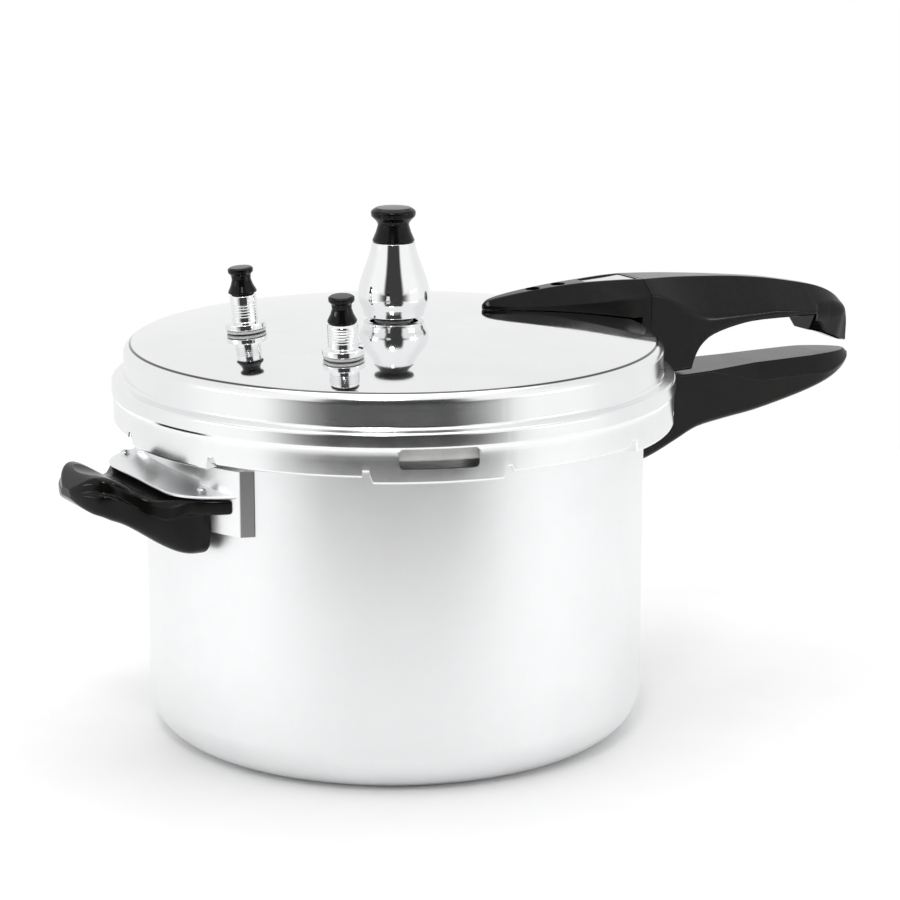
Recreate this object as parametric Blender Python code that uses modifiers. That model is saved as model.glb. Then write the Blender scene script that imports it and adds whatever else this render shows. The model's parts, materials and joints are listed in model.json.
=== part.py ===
"""Aluminium bayonet-lid pressure cooker with weight regulator, as separate solid pieces.

Frame: metres, +Z up, origin on the table under the pot's axis, +X along the long handle.
The lid is locked and the long handles lie one above the other.
"""
import math

import bmesh
import bpy
from mathutils import Matrix, Vector

MM = 0.001

# Clearances and merging
GAP = 0.35 * MM
MERGE = 0.00005

# Pot
POT_RADIUS = 120.0 * MM
WALL = 2.8 * MM
BASE_THICKNESS = 4.0 * MM
CORNER_RADIUS = 21.4 * MM
RIM_HEIGHT = 160.0 * MM
COLLAR_RADIUS = 123.0 * MM
POT_LUG_RADIUS = 130.6 * MM
POT_LUG_BOTTOM = 152.2 * MM
POT_LUG_TOP = 155.4 * MM

# Lid
LID_SHEET = 2.5 * MM
DOME_TOP = 198.7 * MM
DOME_DROP = 10.2 * MM
DOME_EDGE_RADIUS = 129.0 * MM
DOME_POWER = 2.5
SKIRT_RADIUS = 134.2 * MM
SKIRT_BOTTOM = 149.6 * MM
LUG_GAP_TOP = 152.5 * MM
LID_LUG_INNER = 124.5 * MM
LUG_COUNT = 6
LUG_PITCH = math.tau / LUG_COUNT
LID_LUG_ANGLE = math.radians(26)
POT_LUG_ANGLE = math.radians(28)
WINDOW_AZIMUTH = math.radians(-110.5)
WINDOW_WIDTH = 35.6 * MM
WINDOW_LOW = 156.4 * MM
WINDOW_HIGH = 165.6 * MM

# Places of the valves on the lid: distance from the axis, and azimuth
INDICATOR_PLACE = (72.5 * MM, math.radians(168))
SAFETY_PLACE = (82.3 * MM, math.radians(225))
VALVE_HOLE_RADIUS = 5.2 * MM
THREAD_RADIUS = 4.8 * MM

# Handles
GRIP_HALF_WIDTH = 18.0 * MM
HANDLE_SEAM = 136.0 * MM
HANDLE_SCREW_PLACES = (77.0 * MM, 91.0 * MM)
LOWER_SCREW_X = 142.0 * MM
HELPER_AZIMUTH = math.pi
HELPER_HALF_ANGLE = math.radians(29.5)
HELPER_FOLD_ANGLE = math.radians(27.2)
HELPER_SHEET = 1.6 * MM
HELPER_FRONT_Z = 136.6

# The helper shelf's front edge: angle from its middle in degrees, distance from the pot's axis in mm
HELPER_SHELF_FRONT = [
    (-27.2, 123.8), (-25.7, 125.6), (-23.4, 129.7), (-20.4, 134.4), (-17.3, 137.4), (-13.3, 138.6),
    (-8.4, 136.8), (0.0, 135.2), (8.4, 136.8), (13.3, 138.6), (17.3, 137.4), (20.4, 134.4),
    (23.4, 129.7), (25.7, 125.6), (27.2, 123.8)]

# The helper handle in mm: reach, half width and height of its top, half width and height of its bottom
HELPER_ROWS = [
    (100.0, 53.6, 134.6, 40.2, 107.6), (112.5, 53.4, 134.6, 40.6, 107.4), (119.0, 50.8, 134.6, 40.8, 107.2),
    (126.0, 46.4, 134.6, 41.0, 107.6), (131.5, 41.0, 134.2, 38.8, 109.0), (137.0, 34.2, 132.8, 33.8, 111.8),
    (142.0, 28.4, 133.8, 28.8, 115.2), (147.0, 24.4, 136.6, 25.4, 118.6), (152.0, 22.8, 140.0, 24.6, 121.4),
    (157.0, 22.4, 142.6, 24.8, 123.6), (161.0, 20.8, 143.4, 23.6, 125.4), (164.6, 17.6, 142.6, 20.6, 126.8),
    (167.6, 12.8, 140.2, 15.6, 128.8), (169.6, 7.6, 137.8, 9.8, 130.8), (170.6, 3.8, 136.2, 5.2, 132.4)]

# Steps of the turned pieces
LARGE_STEPS = 60
SMALL_STEPS = 16


def clear_scene():
    for obj in list(bpy.data.objects):
        bpy.data.objects.remove(obj, do_unlink=True)


def new_collection(name):
    collection = bpy.data.collections.new(name)
    bpy.context.scene.collection.children.link(collection)
    return collection


def new_material(name, color, roughness, metallic):
    material = bpy.data.materials.new(name)
    material.use_nodes = True
    shader = material.node_tree.nodes["Principled BSDF"]
    shader.inputs["Base Color"].default_value = (*color, 1.0)
    shader.inputs["Roughness"].default_value = roughness
    shader.inputs["Metallic"].default_value = metallic
    return material


clear_scene()
PARTS = new_collection("pressure_cooker")
CUTTERS = new_collection("cutters")

SATIN_ALUMINIUM = ((0.86, 0.87, 0.88), 0.28, 1.0)
POLISHED_ALUMINIUM = ((0.90, 0.91, 0.92), 0.08, 1.0)
CHROME = ((0.88, 0.89, 0.90), 0.06, 1.0)
STEEL = ((0.72, 0.73, 0.74), 0.25, 1.0)
BRASS = ((0.80, 0.62, 0.30), 0.25, 1.0)
BAKELITE = ((0.012, 0.012, 0.012), 0.18, 0.0)
SEAL_RUBBER = ((0.55, 0.55, 0.56), 0.60, 0.0)


def place(obj, collection, finish):
    """Link an object; a part takes a material of its own, a cutter is hidden from renders."""
    collection.objects.link(obj)
    if collection is CUTTERS:
        obj.hide_render = True
        obj.display_type = "WIRE"
    else:
        obj.data.materials.append(new_material(obj.name, *finish))
    return obj


def mm_points(points):
    return [(a * MM, b * MM) for a, b in points]


def arc(center, radius, start_deg, end_deg, count):
    """Points on an arc, ends included, in the same units as its center."""
    points = []
    for i in range(count + 1):
        angle = math.radians(start_deg + (end_deg - start_deg) * i / count)
        points.append((center[0] + radius * math.cos(angle), center[1] + radius * math.sin(angle)))
    return points


def smooth_run(points, per_span=4):
    """A Catmull-Rom curve through the points, ends included."""
    padded = [points[0]] + list(points) + [points[-1]]
    run = []
    for i in range(1, len(padded) - 2):
        p0, p1, p2, p3 = (Vector(p) for p in padded[i - 1:i + 3])
        for k in range(per_span):
            t = k / per_span
            bend = 2 * p0 - 5 * p1 + 4 * p2 - p3
            twist = 3 * p1 - p0 - 3 * p2 + p3
            point = 0.5 * (2 * p1 + (p2 - p0) * t + bend * t * t + twist * t ** 3)
            run.append(tuple(point))
    run.append(tuple(points[-1]))
    return run


def turned(name, profile, finish=None, steps=SMALL_STEPS, collection=PARTS, closed=True):
    """Turn an (r, z) profile about Z. It runs down its outer side and, if closed, up its inner side."""
    mesh = bpy.data.meshes.new(name)
    edges = [(i, i + 1) for i in range(len(profile) - 1)]
    if closed:
        edges.append((len(profile) - 1, 0))
    mesh.from_pydata([(r, 0.0, z) for r, z in profile], edges, [])
    obj = place(bpy.data.objects.new(name, mesh), collection, finish)
    screw = obj.modifiers.new("turn", "SCREW")
    screw.angle = math.tau
    screw.steps = steps
    screw.render_steps = steps
    screw.use_merge_vertices = True
    screw.merge_threshold = MERGE
    screw.use_smooth_shade = True
    return obj


def extruded(name, outlines, low, high, finish=None, collection=PARTS, on_edge=False):
    """Extrude closed 2D outlines, inner ones as holes, from low to high.

    Flat, the outline lies in XY and is extruded along Z. On edge, it lies in XZ and is extruded
    along Y.
    """
    curve = bpy.data.curves.new(name, "CURVE")
    curve.dimensions = "2D"
    curve.fill_mode = "BOTH"
    curve.extrude = (high - low) / 2
    for outline in outlines:
        spline = curve.splines.new("POLY")
        spline.points.add(len(outline) - 1)
        for point, (x, y) in zip(spline.points, outline):
            point.co = (x, y, 0.0, 1.0)
        spline.use_cyclic_u = True
    guide = bpy.data.objects.new(name + "_curve", curve)
    CUTTERS.objects.link(guide)
    bpy.context.view_layer.update()
    mesh = bpy.data.meshes.new_from_object(guide.evaluated_get(bpy.context.evaluated_depsgraph_get()))
    bpy.data.objects.remove(guide, do_unlink=True)
    middle = Matrix.Translation((0.0, 0.0, (low + high) / 2))
    turn = Matrix.Rotation(math.radians(90), 4, "X") if on_edge else Matrix.Identity(4)
    mesh.transform(turn @ middle)
    work = bmesh.new()
    work.from_mesh(mesh)
    bmesh.ops.remove_doubles(work, verts=work.verts, dist=MERGE)
    bmesh.ops.recalc_face_normals(work, faces=work.faces)
    work.to_mesh(mesh)
    work.free()
    mesh.name = name
    return place(bpy.data.objects.new(name, mesh), collection, finish)


def cylinder(name, radius, low, high, finish=None, collection=PARTS, steps=SMALL_STEPS):
    mesh = bpy.data.meshes.new(name)
    work = bmesh.new()
    bmesh.ops.create_cone(
        work, cap_ends=True, segments=steps, radius1=radius, radius2=radius, depth=high - low)
    bmesh.ops.translate(work, verts=work.verts, vec=(0.0, 0.0, (low + high) / 2))
    work.to_mesh(mesh)
    work.free()
    return place(bpy.data.objects.new(name, mesh), collection, finish)


def boolean(obj, tool, operation="DIFFERENCE"):
    modifier = obj.modifiers.new(operation.lower(), "BOOLEAN")
    modifier.operation = operation
    modifier.object = tool
    modifier.solver = "EXACT"


def round_edges(obj, width, segments=2, angle_deg=40):
    bevel = obj.modifiers.new("round", "BEVEL")
    bevel.width = width
    bevel.segments = segments
    bevel.limit_method = "ANGLE"
    bevel.angle_limit = math.radians(angle_deg)


def empty(name, matrix=None):
    obj = bpy.data.objects.new(name, None)
    PARTS.objects.link(obj)
    if matrix is not None:
        obj.matrix_world = matrix
    return obj


def attach(parent, *children):
    """Children are modelled in the parent's frame and go with it."""
    for child in children:
        child.parent = parent


def dome_height(radius):
    """Height of the lid's outer surface at a distance from the axis."""
    return DOME_TOP - DOME_DROP * (radius / DOME_EDGE_RADIUS) ** DOME_POWER


def dome_slope(radius):
    return DOME_DROP * DOME_POWER / DOME_EDGE_RADIUS * (radius / DOME_EDGE_RADIUS) ** (DOME_POWER - 1)


def on_dome(radius, azimuth):
    """A frame whose origin is on the lid and whose Z is square to the lid there."""
    tilt = math.atan(dome_slope(radius))
    spot = Matrix.Rotation(azimuth, 4, "Z") @ Matrix.Translation((radius, 0.0, dome_height(radius)))
    return spot @ Matrix.Rotation(tilt, 4, "Y")


def circle(radius, count=SMALL_STEPS, center=(0.0, 0.0)):
    return arc(center, radius, 0, 360, count)[:-1]


def wedge_outline(inner, outer, middle, width):
    """A plan outline between two radii and two azimuths, with straight sides."""
    count = max(3, round(width / math.radians(5)))
    start = math.degrees(middle - width / 2)
    end = math.degrees(middle + width / 2)
    near = arc((0.0, 0.0), inner, end, start, count)
    far = arc((0.0, 0.0), outer, start, end, count)
    return far + near


def lug_gaps(name, gap_angle, inner, outer, low, high):
    """One cutter for the spaces between the lugs of a ring."""
    outlines = []
    for i in range(LUG_COUNT):
        middle = WINDOW_AZIMUTH + (i + 0.5) * LUG_PITCH
        outlines.append(wedge_outline(inner, outer, middle, gap_angle))
    return extruded(name, outlines, low, high, collection=CUTTERS)


def radial_matrix(azimuth, height):
    """Local Z points outward from the pot's axis at an azimuth and a height."""
    turn = Matrix.Rotation(azimuth, 4, "Z")
    lift = Matrix.Translation((0.0, 0.0, height))
    return lift @ turn @ Matrix.Rotation(math.radians(90), 4, "Y")


# ---------------------------------------------------------------- pot

def make_pot():
    inner = POT_RADIUS - WALL
    inner_corner = CORNER_RADIUS - WALL
    corner_center = (POT_RADIUS - CORNER_RADIUS, CORNER_RADIUS)
    inner_center = (inner - inner_corner, BASE_THICKNESS + inner_corner)
    profile = [(0.0, BASE_THICKNESS)]
    profile += arc(inner_center, inner_corner, -90, 0, 4)
    profile += [(inner, RIM_HEIGHT), (COLLAR_RADIUS, RIM_HEIGHT), (COLLAR_RADIUS, POT_LUG_TOP)]
    profile += [(POT_LUG_RADIUS, POT_LUG_TOP), (POT_LUG_RADIUS, POT_LUG_BOTTOM)]
    profile += [(POT_RADIUS, POT_LUG_BOTTOM)]
    profile += arc(corner_center, CORNER_RADIUS, 0, -90, 6)
    profile += [(0.0, 0.0)]
    pot = turned("pot_body", profile, SATIN_ALUMINIUM, LARGE_STEPS, closed=False)
    gaps = lug_gaps(
        "pot_lug_gaps", LUG_PITCH - POT_LUG_ANGLE, COLLAR_RADIUS + 0.4 * MM, POT_LUG_RADIUS + 8 * MM,
        POT_LUG_BOTTOM - 6 * MM, POT_LUG_TOP + 2 * MM)
    boolean(pot, gaps)
    return pot


# ---------------------------------------------------------------- lid

def make_lid():
    dome = [(r * MM, dome_height(r * MM)) for r in (0, 36, 66, 90, 110)]
    under = [(r * MM, dome_height(r * MM) - LID_SHEET) for r in (110, 90, 66, 36, 0)]
    edge = mm_points([(125.8, 189.0), (128.3, 188.0), (129.2, 186.4)])
    band = mm_points([(128.4, 183.0), (128.2, 179.0), (129.2, 175.4)])
    ridge = mm_points([(132.4, 173.3), (134.6, 171.0), (134.9, 168.2), (134.2, 165.8)])
    skirt = [(SKIRT_RADIUS, SKIRT_BOTTOM), (LID_LUG_INNER, SKIRT_BOTTOM)]
    lug_top = SKIRT_BOTTOM + 2.2 * MM
    inside = [(LID_LUG_INNER, lug_top), (SKIRT_RADIUS - LID_SHEET, lug_top)]
    inside += mm_points([(131.7, 165.8), (132.2, 168.6), (130.6, 171.0), (126.4, 172.4)])
    inside += mm_points([(125.7, 176.0), (125.7, 183.6), (123.8, 186.2)])
    profile = dome + edge + band + ridge + skirt + inside + under
    lid = turned("lid_shell", profile, POLISHED_ALUMINIUM, LARGE_STEPS, closed=False)
    gaps = lug_gaps(
        "lid_lug_gaps", LUG_PITCH - LID_LUG_ANGLE, LID_LUG_INNER - 4 * MM, SKIRT_RADIUS + 6 * MM,
        SKIRT_BOTTOM - 5 * MM, LUG_GAP_TOP)
    boolean(lid, gaps)
    boolean(lid, make_window_cutter())
    for number, (radius, azimuth) in enumerate(((0.0, 0.0), INDICATOR_PLACE, SAFETY_PLACE)):
        hole = cylinder(f"valve_hole_{number}", VALVE_HOLE_RADIUS, -8 * MM, 6 * MM, collection=CUTTERS)
        hole.matrix_world = on_dome(radius, azimuth)
        boolean(lid, hole)
    for number, radius in enumerate(HANDLE_SCREW_PLACES):
        hole = cylinder(f"screw_hole_{number}", 2.5 * MM, -8 * MM, 6 * MM, collection=CUTTERS)
        hole.matrix_world = on_dome(radius, 0.0)
        boolean(lid, hole)
    return lid


def make_window_cutter():
    """The relief window in the skirt, which the gasket bulges through if the pressure rises too far."""
    half = WINDOW_WIDTH / 2
    corner = 2.0 * MM
    outline = []
    low, high = WINDOW_LOW, WINDOW_HIGH
    outline += arc((half - corner, high - corner), corner, 0, 90, 3)
    outline += arc((corner - half, high - corner), corner, 90, 180, 3)
    outline += arc((corner - half, low + corner), corner, 180, 270, 3)
    outline += arc((half - corner, low + corner), corner, 270, 360, 3)
    reach = SKIRT_RADIUS + 6 * MM
    cutter = extruded(
        "window_cutter", [outline], POT_RADIUS + 7 * MM, reach, collection=CUTTERS, on_edge=True)
    cutter.rotation_euler = (0.0, 0.0, WINDOW_AZIMUTH + math.radians(90))
    return cutter


def make_gasket():
    profile = mm_points([
        (131.3, 169.8), (131.3, 160.4), (122.6, 160.4), (122.6, 162.6), (127.0, 164.6), (123.4, 170.6),
        (126.6, 171.9), (130.2, 170.7)])
    profile = profile[-1:] + profile[:-1]
    return turned("lid_gasket", profile, SEAL_RUBBER, LARGE_STEPS)


# ---------------------------------------------------------------- fixings of the lid's fittings

def make_lid_fixing(prefix, frame, finish):
    """The seal above the lid and the hexagon nut below it that hold a threaded body."""
    seal_profile = mm_points([(9.2, 1.6), (9.2, 0.45), (5.2, 0.45), (5.2, 1.6)])
    seal = turned(prefix + "_seal", seal_profile, SEAL_RUBBER)
    hexagon = circle(9.2 * MM, 6)
    nut = extruded(
        prefix + "_nut", [hexagon, circle(THREAD_RADIUS + GAP)], -7.4 * MM, -3.0 * MM, finish)
    attach(frame, seal, nut)


def make_vent(frame):
    profile = mm_points([
        (2.3, 17.3), (2.4, 14.4), (3.4, 13.2), (4.0, 4.4), (8.2, 4.2), (8.2, 2.0), (4.8, 2.0),
        (4.8, -9.0), (1.1, -9.0), (1.1, 17.3)])
    pipe = turned("vent_pipe", profile, CHROME)
    attach(frame, pipe)
    make_lid_fixing("vent", frame, STEEL)


def make_regulator(frame):
    """The weight hangs over the vent pipe; its pin closes the pipe's bore."""
    weight_profile = mm_points([
        (10.3, 36.65), (11.3, 32.0), (13.4, 26.2), (15.8, 19.6), (17.0, 13.6), (17.1, 9.8),
        (16.6, 7.2), (15.2, 5.0), (14.6, 1.4), (11.6, 1.4), (11.0, 9.6), (4.9, 13.2), (2.8, 14.8),
        (2.8, 36.65)])
    weight = turned("regulator_weight", weight_profile, CHROME, 24)
    knob_profile = mm_points([
        (0.0, 53.2), (8.6, 52.9), (10.5, 51.8), (10.9, 49.8), (9.8, 47.8), (7.3, 46.4), (7.2, 45.0),
        (8.5, 41.2), (10.2, 38.0), (10.2, 37.0), (2.8, 37.0), (2.8, 46.0), (0.0, 46.0)])
    knob = turned("regulator_knob", knob_profile, BAKELITE, 20, closed=False)
    pin_profile = mm_points([
        (0.0, 45.6), (2.4, 45.6), (2.4, 19.6), (0.7, 17.7), (0.0, 17.7)])
    pin = turned("regulator_pin", pin_profile, STEEL, 16, closed=False)
    attach(frame, weight, knob, pin)


def small_cap_profile(low):
    """A waisted black cap with a blind bore for its stem, from its flared foot upward."""
    shape = mm_points([
        (0.0, 12.2), (4.9, 12.0), (5.8, 11.2), (5.8, 10.0), (4.7, 8.4), (4.5, 6.2), (5.2, 3.8),
        (6.6, 0.8), (6.6, 0.0), (2.5, 0.0), (2.5, 7.2), (0.0, 7.2)])
    return [(r, z + low) for r, z in shape]


def make_indicator(frame, moving):
    """Float valve: its stem and cap rise when the cooker is under pressure."""
    body_profile = mm_points([
        (5.2, 18.5), (6.3, 17.4), (6.3, 5.6), (7.2, 4.7), (9.8, 4.6), (9.8, 2.0), (4.8, 2.0),
        (4.8, -9.0), (2.6, -9.0), (2.6, 18.5)])
    body = turned("indicator_body", body_profile, CHROME)
    attach(frame, body)
    make_lid_fixing("indicator", frame, STEEL)
    stem_profile = mm_points([
        (0.0, 25.6), (2.2, 25.6), (2.2, -13.3), (4.0, -13.3), (4.0, -15.3), (0.0, -15.3)])
    stem = turned("indicator_stem", stem_profile, STEEL, 16, closed=False)
    cap = turned("indicator_cap", small_cap_profile(18.85 * MM), BAKELITE, closed=False)
    attach(moving, stem, cap)


def make_spring(name, radius, wire, low, high, turns):
    """A round wire coil about local Z, as one poly curve."""
    per_turn = 8
    curve = bpy.data.curves.new(name, "CURVE")
    curve.dimensions = "3D"
    curve.bevel_depth = wire / 2
    curve.bevel_resolution = 2
    curve.use_fill_caps = True
    spline = curve.splines.new("POLY")
    count = per_turn * turns
    spline.points.add(count)
    for i, point in enumerate(spline.points):
        angle = math.tau * i / per_turn
        height = low + wire / 2 + (high - low - wire) * i / count
        point.co = (radius * math.cos(angle), radius * math.sin(angle), height, 1.0)
    return place(bpy.data.objects.new(name, curve), PARTS, STEEL)


def make_safety_valve(frame, moving):
    """Spring valve: the plunger lifts off its seat against the coil and vents through the lid."""
    body_profile = mm_points([
        (5.9, 16.4), (7.0, 15.2), (7.0, 5.6), (7.8, 4.7), (9.8, 4.6), (9.8, 2.0), (4.8, 2.0),
        (4.8, -9.0), (1.9, -9.0), (1.9, 3.0), (5.3, 3.0), (5.3, 16.4)])
    body = turned("safety_valve_body", body_profile, CHROME)
    bush_profile = mm_points([(4.95, 16.4), (4.95, 13.0), (2.4, 13.0), (2.4, 16.4)])
    bush = turned("safety_valve_bush", bush_profile, BRASS)
    spring = make_spring("safety_valve_spring", 3.6 * MM, 0.9 * MM, 6.3 * MM, 12.7 * MM, 3)
    attach(frame, body, bush, spring)
    make_lid_fixing("safety_valve", frame, STEEL)
    stem_profile = mm_points([
        (0.0, 23.5), (2.0, 23.5), (2.0, 6.0), (4.6, 6.0), (4.6, 3.35), (0.0, 3.35)])
    stem = turned("safety_valve_stem", stem_profile, STEEL, 16, closed=False)
    cap = turned("safety_valve_cap", small_cap_profile(16.75 * MM), BAKELITE, closed=False)
    attach(moving, stem, cap)


# ---------------------------------------------------------------- long handle on the lid

def handle_plan(name, half_outline):
    """A cutter of the whole height, from one side of a plan outline that is symmetric about X."""
    other = [(x, -y) for x, y in reversed(half_outline) if abs(y) > MERGE]
    return extruded(name, [half_outline + other], 90 * MM, 230 * MM, collection=CUTTERS)


def dome_run(start, end, lift, count):
    """Points that follow the lid's top in the handle's plane, a little above it."""
    points = []
    for i in range(count + 1):
        x = start + (end - start) * i / count
        points.append((x, dome_height(x) + lift))
    return points


def make_tongue():
    """The pointed front of the handle, which lies along the lid over its plate."""
    top = smooth_run(mm_points([
        (50.0, 200.4), (53.0, 202.2), (60.0, 203.6), (75.0, 205.4), (94.0, 206.8), (118.0, 207.2),
        (136.0, 206.6)]), 2)
    bottom = [(HANDLE_SEAM, 189.5 * MM)] + dome_run(126 * MM, 51 * MM, 0.6 * MM, 7)
    tongue = extruded(
        "upper_handle_tongue", [top + bottom], -GRIP_HALF_WIDTH, GRIP_HALF_WIDTH, BAKELITE, on_edge=True)
    round_edges(tongue, 6.0 * MM, 2, 60)
    heel = extruded(
        "tongue_heel", [mm_points([(131.0, 175.6), (136.0, 175.6), (136.0, 194.0), (131.0, 194.0)])],
        -16 * MM, 16 * MM, collection=CUTTERS, on_edge=True)
    boolean(tongue, heel, "UNION")
    plan = handle_plan("tongue_plan", smooth_run(mm_points([
        (49.0, 0.0), (53.0, 3.4), (62.0, 6.0), (83.0, 9.4), (103.0, 13.6), (122.0, 17.4),
        (140.0, 18.6)]), 2))
    boolean(tongue, plan, "INTERSECT")
    seam = extruded(
        "seam_cutter", [[(HANDLE_SEAM, -0.03), (0.15, -0.03), (0.15, 0.03), (HANDLE_SEAM, 0.03)]],
        0.15, 0.23, collection=CUTTERS)
    boolean(tongue, seam)
    boolean(tongue, plate_pocket())
    boolean(tongue, inset_plate("inset_pocket", 0.0, 205.2 * MM, 215.0 * MM, collection=CUTTERS))
    for number, radius in enumerate(HANDLE_SCREW_PLACES):
        for kind, bore, low, high in (("bore", 2.4, -2.0, 8.0), ("counterbore", 3.6, 5.2, 18.0)):
            hole = cylinder(f"tongue_{kind}_{number}", bore * MM, low * MM, high * MM, collection=CUTTERS)
            hole.matrix_world = on_dome(radius, 0.0)
            boolean(tongue, hole)
    return tongue


def inset_plate(name, shrink, low, high, finish=None, collection=PARTS):
    """A tapering plate, or the pocket for it, in the tongue's top."""
    narrow, wide = 4.2 * MM - shrink, 9.2 * MM - shrink
    start, end = 106.0 * MM + shrink, 134.0 * MM - shrink
    outline = [(start, -narrow), (end, -wide), (end, wide), (start, narrow)]
    return extruded(name, [outline], low, high, finish, collection)


def plate_outline(start, end, low, high):
    return dome_run(start, end, high, 4) + dome_run(end, start, low, 4)


def plate_pocket():
    outline = plate_outline(67 * MM, 127 * MM, -2 * MM, 2.5 * MM)
    return extruded(
        "plate_pocket", [outline], -5.4 * MM, 5.4 * MM, collection=CUTTERS, on_edge=True)


def make_inset():
    return inset_plate("upper_handle_inset", 0.4 * MM, 205.6 * MM, 206.4 * MM, SATIN_ALUMINIUM)


def make_handle_plate():
    """Steel strip between the lid and the tongue, which the screws clamp."""
    outline = plate_outline(68 * MM, 125 * MM, 0.5 * MM, 2.0 * MM)
    plate = extruded(
        "upper_handle_plate", [outline], -4.8 * MM, 4.8 * MM, STEEL, on_edge=True)
    for number, radius in enumerate(HANDLE_SCREW_PLACES):
        hole = cylinder(f"plate_hole_{number}", 2.5 * MM, -2 * MM, 6 * MM, collection=CUTTERS)
        hole.matrix_world = on_dome(radius, 0.0)
        boolean(plate, hole)
    return plate


def make_handle_screws(lid_frame):
    """Two screws down through the tongue, the plate and the lid, each with a sealing washer and a nut."""
    for number, radius in enumerate(HANDLE_SCREW_PLACES, start=1):
        screw_profile = mm_points([
            (0.0, 7.8), (2.6, 7.8), (3.2, 7.2), (3.2, 5.6), (2.0, 5.6), (2.0, -9.0), (0.0, -9.0)])
        screw = turned(f"upper_handle_screw_{number}", screw_profile, STEEL, 16, closed=False)
        washer_profile = mm_points([(5.6, -3.1), (5.6, -4.3), (2.5, -4.3), (2.5, -3.1)])
        washer = turned(f"upper_handle_washer_{number}", washer_profile, SEAL_RUBBER, 16)
        nut_profile = mm_points([(4.0, -4.7), (4.0, -7.9), (2.4, -7.9), (2.4, -4.7)])
        nut = turned(f"upper_handle_nut_{number}", nut_profile, STEEL, 6)
        for piece in (screw, washer, nut):
            attach(lid_frame, piece)
            piece.matrix_world = on_dome(radius, 0.0)


def make_upper_grip():
    top = smooth_run(mm_points([
        (136.35, 206.6), (160.0, 205.6), (190.0, 202.8), (216.0, 199.4), (240.0, 194.6),
        (255.0, 190.0), (265.0, 182.6), (269.6, 172.6), (270.0, 164.0)]), 2)
    hook = mm_points([(267.0, 161.6), (255.0, 166.0), (244.4, 169.6), (242.0, 179.0)])
    under = smooth_run(mm_points([
        (238.0, 179.6), (222.0, 180.0), (207.0, 180.2), (191.0, 178.8), (178.0, 175.8), (169.0, 171.0),
        (164.4, 165.0), (162.8, 159.0)]), 2)
    root = mm_points([(136.35, 159.0)])
    grip = extruded(
        "upper_handle_grip", [top + hook + under[1:] + root], -GRIP_HALF_WIDTH, GRIP_HALF_WIDTH,
        BAKELITE, on_edge=True)
    round_edges(grip, 5.0 * MM, 2, 60)
    plan = handle_plan("upper_grip_plan", mm_points([(130.0, 0.0), (130.0, 19.0), (165.0, 18.4)]) +
                       smooth_run(mm_points([
                           (215.0, 17.6), (245.0, 17.2), (260.0, 14.6), (268.4, 8.6), (271.4, 0.0)]), 3))
    boolean(grip, plan, "INTERSECT")
    seam = extruded(
        "grip_seam_cutter", [[(0.12, -0.03), (0.13635, -0.03), (0.13635, 0.03), (0.12, 0.03)]],
        0.15, 0.23, collection=CUTTERS)
    boolean(grip, seam)
    return grip


# ---------------------------------------------------------------- long handle on the pot

def make_lower_grip():
    top = mm_points([
        (126.0, 112.4), (126.0, 146.6), (138.6, 147.0), (140.6, 157.2), (205.0, 158.0),
        (250.0, 158.0), (265.0, 157.0)])
    end = smooth_run(mm_points([
        (269.4, 154.4), (263.0, 149.0), (250.0, 143.6), (232.0, 138.6), (205.0, 133.2),
        (185.0, 130.8), (168.0, 128.0), (155.0, 122.6), (143.0, 117.6), (132.0, 113.8)]), 2)
    grip = extruded(
        "lower_handle_grip", [top + end], -GRIP_HALF_WIDTH, GRIP_HALF_WIDTH, BAKELITE, on_edge=True)
    round_edges(grip, 4.0 * MM, 2, 60)
    plan = handle_plan("lower_grip_plan", mm_points([(120.0, 0.0), (120.0, 19.0), (165.0, 18.4)]) +
                       smooth_run(mm_points([
                           (215.0, 17.6), (243.0, 17.2), (258.0, 14.6), (266.4, 8.6), (269.8, 0.0)]), 3))
    boolean(grip, plan, "INTERSECT")
    tab_slot = extruded(
        "tab_slot", [mm_points([(120, -8.8), (152.6, -8.8), (152.6, 8.8), (120, 8.8)])],
        127.6 * MM, 131.4 * MM, collection=CUTTERS)
    boolean(grip, tab_slot)
    for name, radius, low, high in (
            ("lower_counterbore", 4.6, 105, 121.4), ("lower_bore", 2.4, 118, 138)):
        tool = cylinder(name, radius * MM, low * MM, high * MM, collection=CUTTERS)
        tool.location.x = LOWER_SCREW_X
        boolean(grip, tool)
    return grip


def make_lower_bracket():
    """Steel saddle riveted to the pot, with a tab that enters the handle's root."""
    outline = wedge_outline(POT_RADIUS + GAP, POT_RADIUS + GAP + 2.0 * MM, 0.0, math.radians(17))
    bracket = extruded("lower_handle_bracket", [outline], 113 * MM, 146 * MM, STEEL)
    tab = extruded(
        "bracket_tab", [mm_points([(121.4, -8), (151.6, -8), (151.6, 8), (121.4, 8)])],
        128.0 * MM, 131.0 * MM, collection=CUTTERS)
    boolean(bracket, tab, "UNION")
    hole = cylinder("tab_hole", 2.4 * MM, 120 * MM, 135 * MM, collection=CUTTERS)
    hole.location.x = LOWER_SCREW_X
    boolean(bracket, hole)
    return bracket


def make_lower_screw():
    profile = mm_points([
        (0.0, 137.4), (2.0, 137.4), (2.0, 121.0), (4.2, 121.0), (3.8, 118.4), (0.0, 117.8)])
    screw = turned("lower_handle_screw", profile, STEEL, 16, closed=False)
    screw.location.x = LOWER_SCREW_X
    return screw


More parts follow.
